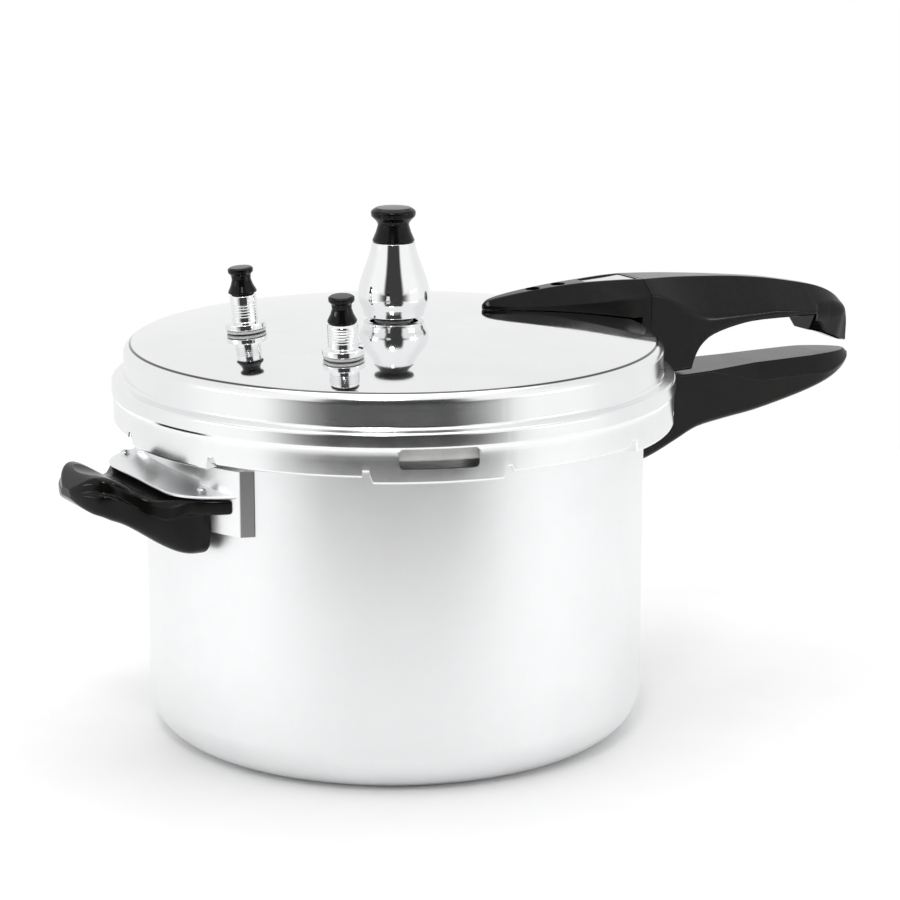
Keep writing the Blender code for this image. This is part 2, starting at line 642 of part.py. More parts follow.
def make_rivet(name, azimuth, height, holed, sheet):
    """A rivet through the pot's wall and a bracket; its two heads clamp them."""
    outer = POT_RADIUS + GAP + sheet
    inner = POT_RADIUS - WALL
    hole = cylinder(
        name + "_hole", 2.4 * MM, inner - 4 * MM, outer + 4 * MM, collection=CUTTERS, steps=12)
    hole.matrix_world = radial_matrix(azimuth, height)
    for obj in holed:
        boolean(obj, hole)
    profile = [
        (0.0, outer + 2.1 * MM), (2.4 * MM, outer + 1.8 * MM), (4.0 * MM, outer + 0.45 * MM),
        (2.0 * MM, outer + 0.45 * MM), (2.0 * MM, inner - 0.45 * MM), (4.0 * MM, inner - 0.45 * MM),
        (3.6 * MM, inner - 1.4 * MM), (0.0, inner - 1.6 * MM)]
    rivet = turned(name, profile, SATIN_ALUMINIUM, 12, closed=False)
    rivet.matrix_world = radial_matrix(azimuth, height)
    return rivet


# ---------------------------------------------------------------- helper handle

def lofted(name, sections, finish=None, collection=PARTS):
    """Skin through closed sections of equal length, with a face on each end."""
    count = len(sections[0])
    verts = [point for section in sections for point in section]
    faces = [tuple(range(count)), tuple(range(len(verts) - count, len(verts)))]
    for i in range(len(sections) - 1):
        for j in range(count):
            here, there = i * count, (i + 1) * count
            k = (j + 1) % count
            faces.append((here + j, here + k, there + k, there + j))
    mesh = bpy.data.meshes.new(name)
    mesh.from_pydata(verts, [], faces)
    work = bmesh.new()
    work.from_mesh(mesh)
    bmesh.ops.recalc_face_normals(work, faces=work.faces)
    work.to_mesh(mesh)
    work.free()
    return place(bpy.data.objects.new(name, mesh), collection, finish)


def helper_polar(radius, away_deg, z):
    """A point from its radius and its angle from the helper handle's middle, all in mm and degrees."""
    azimuth = HELPER_AZIMUTH + math.radians(away_deg)
    return (radius * MM * math.cos(azimuth), radius * MM * math.sin(azimuth), z * MM)


def make_helper_shelf():
    """The sheet that slopes out over the handle's root; its front edge is level."""
    sections = []
    for away, front in HELPER_SHELF_FRONT:
        back_z = HELPER_FRONT_Z + 4.9 - 4.0 * (away / 23.0) ** 2
        sections.append([
            helper_polar(121.2, away, back_z), helper_polar(front, away, HELPER_FRONT_Z),
            helper_polar(front, away, HELPER_FRONT_Z - 1.4), helper_polar(121.2, away, back_z - 1.4)])
    return lofted("helper_shelf", sections, collection=CUTTERS)


def make_helper_bracket():
    """Saddle on the pot's wall with folded ends, and a sloping shelf."""
    end, fold = math.degrees(HELPER_HALF_ANGLE), math.degrees(HELPER_FOLD_ANGLE)
    inner = 120.0 + GAP / MM
    outer = inner + HELPER_SHEET / MM
    back = [helper_polar(inner, end - 2 * end * i / 14, 0.0)[:2] for i in range(15)]
    front = [helper_polar(124.6, -fold + (fold - 16.0) * i / 3, 0.0)[:2] for i in range(4)]
    front += [helper_polar(outer, -15.0 + 30.0 * i / 8, 0.0)[:2] for i in range(9)]
    front += [helper_polar(124.6, 16.0 + (fold - 16.0) * i / 3, 0.0)[:2] for i in range(4)]
    bracket = extruded("helper_bracket", [back + front], 118 * MM, 148 * MM, STEEL)
    boolean(bracket, make_helper_shelf(), "UNION")
    return bracket


def helper_sections():
    """Sections square to the handle: a wide upper ledge at the root, then a waist and a bulb."""
    sections = []
    for reach, half, top, low_half, bottom in HELPER_ROWS:
        ease = min(3.0, 0.3 * (top - bottom), 0.4 * low_half)
        middle = max(0.5 * (top + bottom) + 3.0, 127.6)
        middle = min(middle, top - 1.2)
        side = [(half - 0.4 * ease, top), (half, top - 0.4 * ease), (half, middle),
                (low_half, middle - 0.4), (low_half, bottom + ease), (low_half - ease, bottom)]
        ring = [(y, z) for y, z in side] + [(-y, z) for y, z in reversed(side)]
        sections.append([(-reach * MM, y * MM, z * MM) for y, z in ring])
    return sections


def make_helper_grip():
    grip = lofted("helper_handle_grip", helper_sections(), BAKELITE)
    back = cylinder("helper_back", 125.0 * MM, 80 * MM, 170 * MM, collection=CUTTERS, steps=LARGE_STEPS)
    boolean(grip, back)
    return grip


def make_helper_screws(bracket, grip):
    """Two small screws down through the shelf into the ledge of the handle's root."""
    for number, side in enumerate((-1, 1), start=1):
        x, y, _ = helper_polar(129.5, side * 19.0, 0.0)
        hole = cylinder(f"helper_bore_{number}", 1.9 * MM, 129.3 * MM, 150 * MM, collection=CUTTERS, steps=12)
        hole.location = (x, y, 0.0)
        boolean(bracket, hole)
        boolean(grip, hole)
        profile = mm_points([
            (0.0, 139.4), (1.8, 139.2), (2.4, 138.2), (1.5, 138.2), (1.5, 129.8), (0.0, 129.8)])
        screw = turned(f"helper_screw_{number}", profile, STEEL, 12, closed=False)
        screw.location = (x, y, 0.0)


def main():
    pot = make_pot()
    lid_axis = empty("lid_axis")
    attach(lid_axis, make_lid(), make_gasket())
    vent_frame = empty("vent_frame", on_dome(0.0, 0.0))
    make_vent(vent_frame)
    regulator_axis = empty("regulator_axis", on_dome(0.0, 0.0))
    make_regulator(regulator_axis)
    indicator_frame = empty("indicator_frame", on_dome(*INDICATOR_PLACE))
    indicator_axis = empty("indicator_axis", on_dome(*INDICATOR_PLACE))
    make_indicator(indicator_frame, indicator_axis)
    safety_frame = empty("safety_valve_frame", on_dome(*SAFETY_PLACE))
    safety_axis = empty("safety_valve_axis", on_dome(*SAFETY_PLACE))
    make_safety_valve(safety_frame, safety_axis)
    attach(lid_axis, make_tongue(), make_inset(), make_handle_plate(), make_upper_grip())
    make_handle_screws(lid_axis)
    attach(lid_axis, vent_frame, regulator_axis, indicator_frame, indicator_axis, safety_frame,
           safety_axis)

    make_lower_grip()
    lower_bracket = make_lower_bracket()
    make_lower_screw()
    for number, height in enumerate((120.5, 139.0), start=1):
        make_rivet(f"lower_handle_rivet_{number}", 0.0, height * MM, (pot, lower_bracket), 2.0 * MM)
    helper_bracket = make_helper_bracket()
    helper_grip = make_helper_grip()
    make_helper_screws(helper_bracket, helper_grip)
    for number, side in enumerate((-1, 1), start=1):
        azimuth = HELPER_AZIMUTH + side * math.radians(12)
        make_rivet(f"helper_rivet_{number}", azimuth, 125 * MM, (pot, helper_bracket), HELPER_SHEET)


main()
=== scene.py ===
"""Looks for the pressure cooker: detailed pieces, finishes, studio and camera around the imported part."""

import json
import math

import bmesh
import bpy
from mathutils import Matrix, Vector


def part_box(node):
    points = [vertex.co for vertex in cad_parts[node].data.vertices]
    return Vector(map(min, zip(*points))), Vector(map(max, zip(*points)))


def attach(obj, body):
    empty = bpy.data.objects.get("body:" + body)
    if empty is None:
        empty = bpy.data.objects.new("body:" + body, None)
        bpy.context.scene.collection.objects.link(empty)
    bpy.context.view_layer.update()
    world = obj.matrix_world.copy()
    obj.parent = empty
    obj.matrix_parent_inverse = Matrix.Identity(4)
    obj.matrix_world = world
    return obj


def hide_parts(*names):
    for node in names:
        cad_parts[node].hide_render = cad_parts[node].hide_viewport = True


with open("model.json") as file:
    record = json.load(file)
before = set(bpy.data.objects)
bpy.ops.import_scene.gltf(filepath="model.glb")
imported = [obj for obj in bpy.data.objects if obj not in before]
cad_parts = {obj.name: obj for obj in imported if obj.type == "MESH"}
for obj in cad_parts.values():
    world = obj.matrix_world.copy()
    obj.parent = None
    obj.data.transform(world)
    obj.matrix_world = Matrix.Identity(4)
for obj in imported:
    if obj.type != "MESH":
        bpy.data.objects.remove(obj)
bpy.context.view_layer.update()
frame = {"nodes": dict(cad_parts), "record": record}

MM = 0.001

# Main sizes, in metres
POT_RADIUS = 120.0 * MM
WALL = 2.8 * MM
POT_FLOOR = 4.0 * MM
POT_TOP = 160.0 * MM
POT_LUG_TOP = 155.4 * MM
POT_LUG_BOTTOM = 152.2 * MM
COLLAR_RADIUS = 123.0 * MM
POT_LUG_RADIUS = 130.6 * MM
LID_SHEET = 2.5 * MM
SKIRT_RADIUS = 134.2 * MM
SKIRT_BOTTOM = 149.6 * MM
GAP_BOTTOM = 152.5 * MM
NOTCH_BOTTOM = 155.0 * MM
LUG_INNER = 124.5 * MM
LUG_COUNT = 6
LUG_PITCH = math.tau / LUG_COUNT
LID_LUG_ANGLE = math.radians(26)
POT_LUG_ANGLE = math.radians(28)
NOTCH_ANGLE = math.radians(1.6)
STEP_ANGLE = math.radians(0.5)
WINDOW_AZIMUTH = math.radians(-110.5)
DOME_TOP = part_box("lid_shell")[1].z
DOME_DROP = 10.2 * MM
DOME_EDGE = 129.0 * MM
DOME_POWER = 2.5
INDICATOR_PLACE = (72.5 * MM, math.radians(168))
SAFETY_PLACE = (82.3 * MM, math.radians(225))
SCREW_PLACES = (77.0 * MM, 91.0 * MM)
VALVE_HOLE = 5.2 * MM
SCREW_HOLE = 2.5 * MM

# Edges that turn more than this many degrees are drawn sharp
SHARP_DEG = 32.0


# ---------------------------------------------------------------- outlines

def mm(points):
    """Points given in millimetres, with a corner radius last, in metres."""
    return [tuple(value * MM for value in point) for point in points]


def corner(before, here, after, radius, count):
    """Points of the arc that rounds one corner of an outline."""
    into, out = (before - here), (after - here)
    room = 0.49 * min(into.length, out.length)
    into.normalize()
    out.normalize()
    opening = into.angle(out)
    if opening > math.radians(179.5) or radius <= 0.0:
        return [here.copy() for _ in range(count + 1)]
    reach = min(radius / math.tan(opening / 2), room)
    radius = reach * math.tan(opening / 2)
    center = here + (into + out).normalized() * (radius / math.sin(opening / 2))
    start, end = here + into * reach - center, here + out * reach - center
    sweep = math.pi - opening
    points = []
    for i in range(count + 1):
        first, last = math.sin(sweep * (1 - i / count)), math.sin(sweep * i / count)
        points.append(center + (start * first + end * last) / math.sin(sweep))
    return points


def rounded(points, closed=False, count=4):
    """Round the corners of an outline whose points are (a, b, radius)."""
    flat = [Vector(point[:2]) for point in points]
    result = []
    for i, point in enumerate(points):
        is_end = not closed and i in (0, len(points) - 1)
        radius = point[2] if len(point) > 2 else 0.0
        if is_end or (radius == 0.0 and not closed):
            result.append(flat[i])
        else:
            result += corner(flat[i - 1], flat[i], flat[(i + 1) % len(flat)], radius, count)
    return [tuple(point) for point in result]


def smooth_rows(rows, per_span):
    """Catmull-Rom rows through rows of numbers whose first number is the place along the piece."""
    padded = [rows[0]] + list(rows) + [rows[-1]]
    result = []
    for p0, p1, p2, p3 in zip(padded, padded[1:], padded[2:], padded[3:]):
        for k in range(per_span):
            t = k / per_span
            result.append(tuple(
                b + 0.5 * t * (c - a + t * (2 * a - 5 * b + 4 * c - d + t * (3 * b - a - 3 * c + d)))
                for a, b, c, d in zip(p0, p1, p2, p3)))
    return result + [tuple(rows[-1])]


def dome_height(radius):
    return DOME_TOP - DOME_DROP * (radius / DOME_EDGE) ** DOME_POWER


def on_dome(radius, azimuth):
    """A frame whose origin is on the lid and whose Z is square to the lid there."""
    slope = DOME_DROP * DOME_POWER / DOME_EDGE * (radius / DOME_EDGE) ** (DOME_POWER - 1)
    spot = Matrix.Rotation(azimuth, 4, "Z") @ Matrix.Translation((radius, 0.0, dome_height(radius)))
    return spot @ Matrix.Rotation(math.atan(slope), 4, "Y")


# ---------------------------------------------------------------- meshes

def new_piece(name, verts, faces, sharp_deg=SHARP_DEG):
    """A closed mesh object with merged points, outward faces and smooth shading between sharp edges."""
    mesh = bpy.data.meshes.new(name)
    mesh.from_pydata(verts, [], faces)
    work = bmesh.new()
    work.from_mesh(mesh)
    bmesh.ops.remove_doubles(work, verts=work.verts, dist=2e-6)
    bmesh.ops.dissolve_degenerate(work, edges=work.edges, dist=1e-6)
    bmesh.ops.recalc_face_normals(work, faces=work.faces)
    work.to_mesh(mesh)
    work.free()
    mesh.shade_smooth()
    mesh.set_sharp_from_angle(angle=math.radians(sharp_deg))
    obj = bpy.data.objects.new(name, mesh)
    bpy.context.scene.collection.objects.link(obj)
    return obj


def joined_rings(rings, closed_along, closed_around=True):
    """Vertices and quads of a grid whose rows are rings of points."""
    count = len(rings[0])
    verts = [point for ring in rings for point in ring]
    faces = []
    for i in range(len(rings) if closed_along else len(rings) - 1):
        here, there = i * count, (i + 1) % len(rings) * count
        for j in range(count if closed_around else count - 1):
            k = (j + 1) % count
            faces.append((here + j, here + k, there + k, there + j))
    return verts, faces


def turned(name, profile, steps=96, closed=False, angles=None):
    """Turn an (r, z) profile about Z. A function gives the profile at each azimuth."""
    shape = profile if callable(profile) else (lambda azimuth: profile)
    angles = angles or [math.tau * i / steps for i in range(steps)]
    rings = []
    for angle in angles:
        rings.append([(r * math.cos(angle), r * math.sin(angle), z) for r, z in shape(angle)])
    return new_piece(name, *joined_rings(rings, True, closed))


def lofted(name, sections, sharp_deg=SHARP_DEG):
    """Skin through closed sections, with a face on each end."""
    verts, faces = joined_rings(sections, False)
    count = len(sections[0])
    faces.append(tuple(range(count)))
    faces.append(tuple(range(len(verts) - count, len(verts))))
    return new_piece(name, verts, faces, sharp_deg)


def prism(name, outline, low, high, edge=0.0):
    """A flat outline raised from low to high, with its top and bottom edges eased."""
    inner = inset(outline, edge)
    sections = []
    for z, ring in ((low, inner), (low + edge, outline), (high - edge, outline), (high, inner)):
        sections.append([(x, y, z) for x, y in ring])
    return lofted(name, sections)


def inset(outline, distance):
    center = sum((Vector(point) for point in outline), Vector((0.0, 0.0))) / len(outline)
    result = []
    for point in outline:
        spoke = Vector(point) - center
        result.append(tuple(center + spoke * (1.0 - distance / spoke.length)))
    return result


def circle(radius, count=48):
    return [(radius * math.cos(math.tau * i / count), radius * math.sin(math.tau * i / count))
            for i in range(count)]


def cut(obj, *tools):
    """Take the tools out of the piece and leave nothing but its mesh."""
    for tool in tools:
        modifier = obj.modifiers.new("cut", "BOOLEAN")
        modifier.operation = "DIFFERENCE"
        modifier.object = tool
        modifier.solver = "EXACT"
    bpy.context.view_layer.update()
    mesh = bpy.data.meshes.new_from_object(obj.evaluated_get(bpy.context.evaluated_depsgraph_get()))
    obj.modifiers.clear()
    old = obj.data
    obj.data = mesh
    bpy.data.meshes.remove(old)
    for tool in tools:
        bpy.data.objects.remove(tool, do_unlink=True)
    mesh.shade_smooth()
    mesh.set_sharp_from_angle(angle=math.radians(SHARP_DEG))
    return obj


def finish_piece(obj, body, slot, material, *nodes, matrix=None):
    """Put a piece in place, give it its finish, and let it stand for CAD nodes on its body."""
    if matrix is not None:
        obj.matrix_world = matrix
    obj.data.materials.clear()
    obj.data.materials.append(material)
    even = obj.modifiers.new("even_normals", "WEIGHTED_NORMAL")
    even.keep_sharp = True
    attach(obj, body)
    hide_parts(*nodes)
    return obj


# ---------------------------------------------------------------- materials

def link(tree, source, target):
    tree.links.new(source, target)


def add_node(tree, kind, settings=None, inputs=None):
    node = tree.nodes.new(kind)
    for key, value in (settings or {}).items():
        setattr(node, key, value)
    for key, value in (inputs or {}).items():
        if isinstance(value, bpy.types.NodeSocket):
            link(tree, value, node.inputs[key])
        else:
            node.inputs[key].default_value = value
    return node


def new_material(name, color, roughness, metallic, ior=1.5):
    material = bpy.data.materials.new(name)
    material.use_nodes = True
    shader = material.node_tree.nodes["Principled BSDF"]
    shader.inputs["Base Color"].default_value = (*color, 1.0)
    shader.inputs["Roughness"].default_value = roughness
    shader.inputs["Metallic"].default_value = metallic
    shader.inputs["IOR"].default_value = ior
    return material, material.node_tree, shader


def object_place(tree, scale):
    """The point on the piece, stretched by a scale on each axis."""
    place = add_node(tree, "ShaderNodeTexCoord")
    mapping = add_node(tree, "ShaderNodeMapping", inputs={0: place.outputs["Object"], "Scale": scale})
    return mapping.outputs[0]


def noise(tree, vector, scale, detail=3.0, roughness=0.6):
    made = add_node(tree, "ShaderNodeTexNoise", inputs={
        "Vector": vector, "Scale": scale, "Detail": detail, "Roughness": roughness})
    return made.outputs["Fac"]


def ramp(tree, value, low, high, out_low, out_high):
    """Map a value's range to another and hold it inside."""
    made = add_node(tree, "ShaderNodeMapRange", {"interpolation_type": "SMOOTHSTEP"}, {
        "Value": value, "From Min": low, "From Max": high, "To Min": out_low, "To Max": out_high})
    return made.outputs["Result"]


def tint(tree, value, low, high, dark, light):
    made = add_node(tree, "ShaderNodeValToRGB", inputs={"Fac": value})
    made.color_ramp.elements[0].position = low
    made.color_ramp.elements[0].color = (*dark, 1.0)
    made.color_ramp.elements[1].position = high
    made.color_ramp.elements[1].color = (*light, 1.0)
    return made.outputs["Color"]


def bump(tree, shader, height, strength, distance):
    made = add_node(tree, "ShaderNodeBump", inputs={
        "Height": height, "Strength": strength, "Distance": distance})
    link(tree, made.outputs["Normal"], shader.inputs["Normal"])


def axis_distance(tree):
    """How far the point is from the piece's own Z axis."""
    flat = object_place(tree, (1.0, 1.0, 0.0))
    return add_node(tree, "ShaderNodeVectorMath", {"operation": "LENGTH"}, {0: flat}).outputs["Value"]


def ring_place(tree, along, around):
    """A place whose third axis counts the distance from the Z axis and the height, for lathe marks."""
    vector = object_place(tree, (around, around, along))
    parts = add_node(tree, "ShaderNodeSeparateXYZ", inputs={0: vector})
    reach = add_node(tree, "ShaderNodeMath", {"operation": "MULTIPLY"}, {
        0: axis_distance(tree), 1: along}).outputs[0]
    total = add_node(tree, "ShaderNodeMath", {"operation": "ADD"}, {
        0: parts.outputs["Z"], 1: reach}).outputs[0]
    return add_node(tree, "ShaderNodeCombineXYZ", inputs={
        "X": parts.outputs["X"], "Y": parts.outputs["Y"], "Z": total}).outputs[0]


def metal(name, color, roughness, spread, marks, along=2600.0, around=12.0):
    """Turned metal: fine rings from polishing, cloudy wear in its gloss and a slight change of tone."""
    material, tree, shader = new_material(name, color, roughness, 1.0)
    clouds = noise(tree, object_place(tree, (1.0, 1.0, 1.0)), 38.0, 4.0)
    rings = noise(tree, ring_place(tree, along, around), 1.0, 2.0, 0.5)
    wear = add_node(tree, "ShaderNodeMath", {"operation": "MULTIPLY_ADD"}, {
        0: rings, 1: 0.35, 2: clouds}).outputs[0]
    gloss = ramp(tree, wear, 0.45, 0.9, roughness - spread, roughness + spread)
    link(tree, gloss, shader.inputs["Roughness"])
    darker = tuple(value * 0.965 for value in color)
    link(tree, tint(tree, clouds, 0.35, 0.7, darker, color), shader.inputs["Base Color"])
    bump(tree, shader, rings, marks, 0.02 * MM)
    return material, tree, shader


def make_bakelite():
    """Moulded black phenolic: glossy, with a faint orange peel and a fine mottle."""
    material, tree, shader = new_material("black_bakelite_finish", (0.004, 0.004, 0.0036), 0.12, 0.0, 1.28)
    place = object_place(tree, (1.0, 1.0, 1.0))
    mottle = noise(tree, place, 260.0, 4.0)
    peel = noise(tree, place, 420.0, 1.0, 0.4)
    link(tree, tint(tree, mottle, 0.35, 0.75, (0.0028, 0.0028, 0.0025), (0.0060, 0.0060, 0.0054)),
         shader.inputs["Base Color"])
    link(tree, ramp(tree, noise(tree, place, 45.0, 3.0), 0.3, 0.75, 0.11, 0.21), shader.inputs["Roughness"])
    bump(tree, shader, peel, 0.06, 0.05 * MM)
    return material


def make_rubber():
    material, tree, shader = new_material("seal_rubber_finish", (0.60, 0.60, 0.59), 0.55, 0.0)
    place = object_place(tree, (1.0, 1.0, 1.0))
    dust = noise(tree, place, 140.0, 4.0)
    shade = tint(tree, dust, 0.3, 0.75, (0.54, 0.54, 0.53), (0.66, 0.66, 0.65))
    link(tree, shade, shader.inputs["Base Color"])
    link(tree, ramp(tree, dust, 0.3, 0.7, 0.48, 0.64), shader.inputs["Roughness"])
    bump(tree, shader, noise(tree, ring_place(tree, 900.0, 4.0), 1.0), 0.35, 0.08 * MM)
    return material


def make_lid_metal():
    """Polished aluminium, duller down the sides, with a thin dark ring of painted shade in the crease at the
    dome's edge.
    """
    material, tree, shader = metal("polished_aluminium_finish", (0.90, 0.905, 0.91), 0.055, 0.018, 0.05)
    reach = axis_distance(tree)
    # Painted shade: the base colour goes dark in a thin ring where the crease at the dome's edge lies in
    # shade.
    inside = ramp(tree, reach, 125.15 * MM, 125.55 * MM, 0.0, 1.0)
    outside = ramp(tree, reach, 126.05 * MM, 126.45 * MM, 1.0, 0.0)
    painted_shade_mask = add_node(tree, "ShaderNodeMath", {"operation": "MULTIPLY"}, {0: inside, 1: outside}).outputs[0]
    unshaded_color = shader.inputs["Base Color"].links[0].from_socket
    fold_painted_shade = add_node(tree, "ShaderNodeMix", {"data_type": "RGBA"}, {0: painted_shade_mask, 6: unshaded_color})
    fold_painted_shade.inputs[7].default_value = (0.10, 0.10, 0.10, 1.0)
    link(tree, fold_painted_shade.outputs[2], shader.inputs["Base Color"])
    gloss = shader.inputs["Roughness"].links[0].from_socket
    side = ramp(tree, reach, 126.8 * MM, 128.4 * MM, 0.0, 0.12)
    duller = add_node(tree, "ShaderNodeMath", {"operation": "ADD"}, {0: gloss, 1: side}).outputs[0]
    link(tree, duller, shader.inputs["Roughness"])
    return material


def make_bracket_metal():
    """Satin sheet whose folded ends, beyond 27.2 degrees from the handle's middle, carry painted shade: a
    darker base colour.
    """
    material, tree, shader = metal("bracket_finish", (0.90, 0.905, 0.91), 0.34, 0.05, 0.2, 900.0, 6.0)
    # Painted shade: the base colour darkens on the folded ends, where the sheet beside the grip lies in
    # shade.
    parts = add_node(tree, "ShaderNodeSeparateXYZ", inputs={0: object_place(tree, (1.0, 1.0, 1.0))})
    aside = add_node(tree, "ShaderNodeMath", {"operation": "ABSOLUTE"}, {0: parts.outputs["Y"]}).outputs[0]
    back = add_node(tree, "ShaderNodeMath", {"operation": "MULTIPLY"}, {0: parts.outputs["X"], 1: -1.0})
    angle = add_node(tree, "ShaderNodeMath", {"operation": "ARCTAN2"}, {0: aside, 1: back.outputs[0]})
    painted_shade_mask = ramp(tree, angle.outputs[0], math.radians(27.0), math.radians(27.5), 0.0, 1.0)
    unshaded_color = shader.inputs["Base Color"].links[0].from_socket
    end_painted_shade = add_node(tree, "ShaderNodeMix", {"data_type": "RGBA"}, {0: painted_shade_mask, 6: unshaded_color})
    end_painted_shade.inputs[7].default_value = (0.30, 0.30, 0.30, 1.0)
    link(tree, end_painted_shade.outputs[2], shader.inputs["Base Color"])
    return material


SATIN = metal("satin_aluminium_finish", (0.875, 0.88, 0.885), 0.36, 0.04, 0.18, 1900.0, 5.0)[0]
POLISHED = make_lid_metal()
CHROME = metal("chrome_finish", (0.90, 0.905, 0.91), 0.045, 0.02, 0.04, 5200.0, 20.0)[0]
STEEL = metal("steel_finish", (0.70, 0.71, 0.72), 0.22, 0.06, 0.25, 3200.0, 40.0)[0]
SHEET_STEEL = metal("bright_sheet_finish", (0.84, 0.85, 0.86), 0.14, 0.04, 0.12, 1800.0, 30.0)[0]
BRACKET = make_bracket_metal()
BRASS = metal("brass_finish", (0.80, 0.62, 0.30), 0.22, 0.05, 0.2, 3200.0, 40.0)[0]
BAKELITE = make_bakelite()
RUBBER = make_rubber()


# ---------------------------------------------------------------- pot and lid

def lug_share(azimuth, lug_angle):
    """1 on a lug, 0 between lugs, with a short step between, and the angle from the lug's end."""
    away = (azimuth - WINDOW_AZIMUTH + LUG_PITCH / 2) % LUG_PITCH - LUG_PITCH / 2
    past = abs(away) - lug_angle / 2
    return min(1.0, max(0.0, -past / STEP_ANGLE)), past


def lug_azimuths(lug_angle, even_steps):
    """Evenly spaced azimuths and extra ones at the steps of the lugs."""
    found = {round(math.tau * i / even_steps, 6) for i in range(even_steps)}
    for i in range(LUG_COUNT):
        for side in (-1, 1):
            end = WINDOW_AZIMUTH + i * LUG_PITCH + side * lug_angle / 2
            steps = (-STEP_ANGLE, 0.0, STEP_ANGLE / 2, NOTCH_ANGLE, NOTCH_ANGLE + STEP_ANGLE)
            found |= {round((end + side * step) % math.tau, 6) for step in steps}
    return sorted(found)


def blend_rows(first, second, share):
    return [tuple(a + (b - a) * share for a, b in zip(p, q)) for p, q in zip(first, second)]


def pot_profile(lug_radius):
    inner, outer = POT_RADIUS - WALL, POT_RADIUS
    return rounded([
        (0.0, POT_FLOOR), (inner, POT_FLOOR, 18.6 * MM), (inner, 158.0 * MM),
        (inner, POT_TOP, 0.8 * MM), (COLLAR_RADIUS, POT_TOP, 1.0 * MM),
        (COLLAR_RADIUS, POT_LUG_TOP), (lug_radius, POT_LUG_TOP, 0.5 * MM),
        (lug_radius, POT_LUG_BOTTOM, 0.5 * MM), (outer, POT_LUG_BOTTOM),
        (outer, 120.0 * MM), (outer, 80.0 * MM), (outer, 40.0 * MM),
        (outer, 0.0, 21.4 * MM), (70.0 * MM, 0.0), (66.0 * MM, 0.6 * MM), (0.0, 0.6 * MM)], count=10)


def make_pot():
    with_lug = pot_profile(POT_LUG_RADIUS)
    without = pot_profile(COLLAR_RADIUS + 0.6 * MM)
    angles = lug_azimuths(POT_LUG_ANGLE, 240)
    pot = turned(
        "pot_shell", lambda azimuth: blend_rows(without, with_lug, lug_share(azimuth, POT_LUG_ANGLE)[0]),
        angles=angles)
    finish_piece(pot, "pot", "satin_aluminium", SATIN, "pot_body")


def lid_outer():
    """The dome, a fold, a rolled shoulder, an upright band and the ridge over the skirt."""
    radii = (0, 6, 12, 20, 28, 36, 44, 52, 60, 68, 76, 84, 92, 99, 105, 110, 114, 118, 121, 123.5, 125.2)
    dome = [(r * MM, dome_height(r * MM)) for r in radii]
    shoulder = []
    for i in range(13):
        angle = math.radians(66.0 - 5.5 * i)
        shoulder.append(((124.6 + 4.4 * math.cos(angle)) * MM, (184.2 + 4.4 * math.sin(angle)) * MM))
    below = rounded(mm([
        (129.0, 183.4), (129.0, 178.8), (129.0, 173.5, 1.4), (134.7, 172.4, 1.6), (134.9, 168.4),
        (134.9, 166.3, 0.8), (134.4, 165.2, 0.4), (134.25, 164.4), (134.2, 162.0), (134.2, 160.0)]), count=8)
    return dome + mm([(125.6, 188.9)]) + shoulder + below


def lid_bottom(bottom, inner):
    """The skirt's lower edge: turned in under a lug, or plain between lugs."""
    return rounded([
        (SKIRT_RADIUS, 160.0 * MM), (SKIRT_RADIUS, bottom, 1.3 * MM), (inner, bottom, 0.5 * MM),
        (inner, bottom + 2.2 * MM, 0.5 * MM), (SKIRT_RADIUS - LID_SHEET, bottom + 2.21 * MM, 0.3 * MM),
        (SKIRT_RADIUS - LID_SHEET, 161.0 * MM)], count=5)[1:]


def lid_inner():
    inside = rounded(mm([
        (131.7, 161.0), (131.7, 165.8), (132.2, 168.6, 1.0), (130.6, 171.0, 1.5), (126.0, 174.0, 2.0),
        (126.0, 183.6, 2.0), (123.4, 186.4)]), count=3)[1:]
    return inside + [(r * MM, dome_height(r * MM) - LID_SHEET) for r in (110, 90, 66, 36, 0)]


def lid_profile(azimuth):
    share, past = lug_share(azimuth, LID_LUG_ANGLE)
    between = GAP_BOTTOM
    if 0.0 <= past <= NOTCH_ANGLE:
        between = NOTCH_BOTTOM
    plain = lid_bottom(between, SKIRT_RADIUS - LID_SHEET + 0.01 * MM)
    lug = lid_bottom(SKIRT_BOTTOM, LUG_INNER)
    return LID_OUTER + blend_rows(plain, lug, share) + LID_INNER


LID_OUTER = lid_outer()
LID_INNER = lid_inner()


def window_tool():
    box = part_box("lid_gasket")
    half, corner_radius = 17.8 * MM, 2.0 * MM
    low, high = 156.4 * MM, 165.6 * MM
    outline = rounded([(-half, low, corner_radius), (half, low, corner_radius), (half, high, corner_radius),
                       (-half, high, corner_radius)], closed=True)
    tool = lofted("window_tool", [
        [(x, -reach, z) for x, z in outline] for reach in (127.0 * MM, box[1].x + 10.0 * MM)])
    tool.rotation_euler = (0.0, 0.0, WINDOW_AZIMUTH + math.radians(90))
    return tool


def hole_tool(name, radius, matrix, low=-9.0 * MM, high=6.0 * MM):
    tool = prism(name, circle(radius), low, high)
    tool.matrix_world = matrix
    return tool


def make_lid():
    lid = turned("lid", lid_profile, angles=lug_azimuths(LID_LUG_ANGLE, 288))
    tools = [window_tool()]
    for number, place in enumerate(((0.0, 0.0), INDICATOR_PLACE, SAFETY_PLACE)):
        tools.append(hole_tool(f"valve_hole_{number}", VALVE_HOLE, on_dome(*place)))
    for number, radius in enumerate(SCREW_PLACES):
        tools.append(hole_tool(f"screw_hole_{number}", SCREW_HOLE, on_dome(radius, 0.0)))
    cut(lid, *tools)
    finish_piece(lid, "lid", "polished_aluminium", POLISHED, "lid_shell")


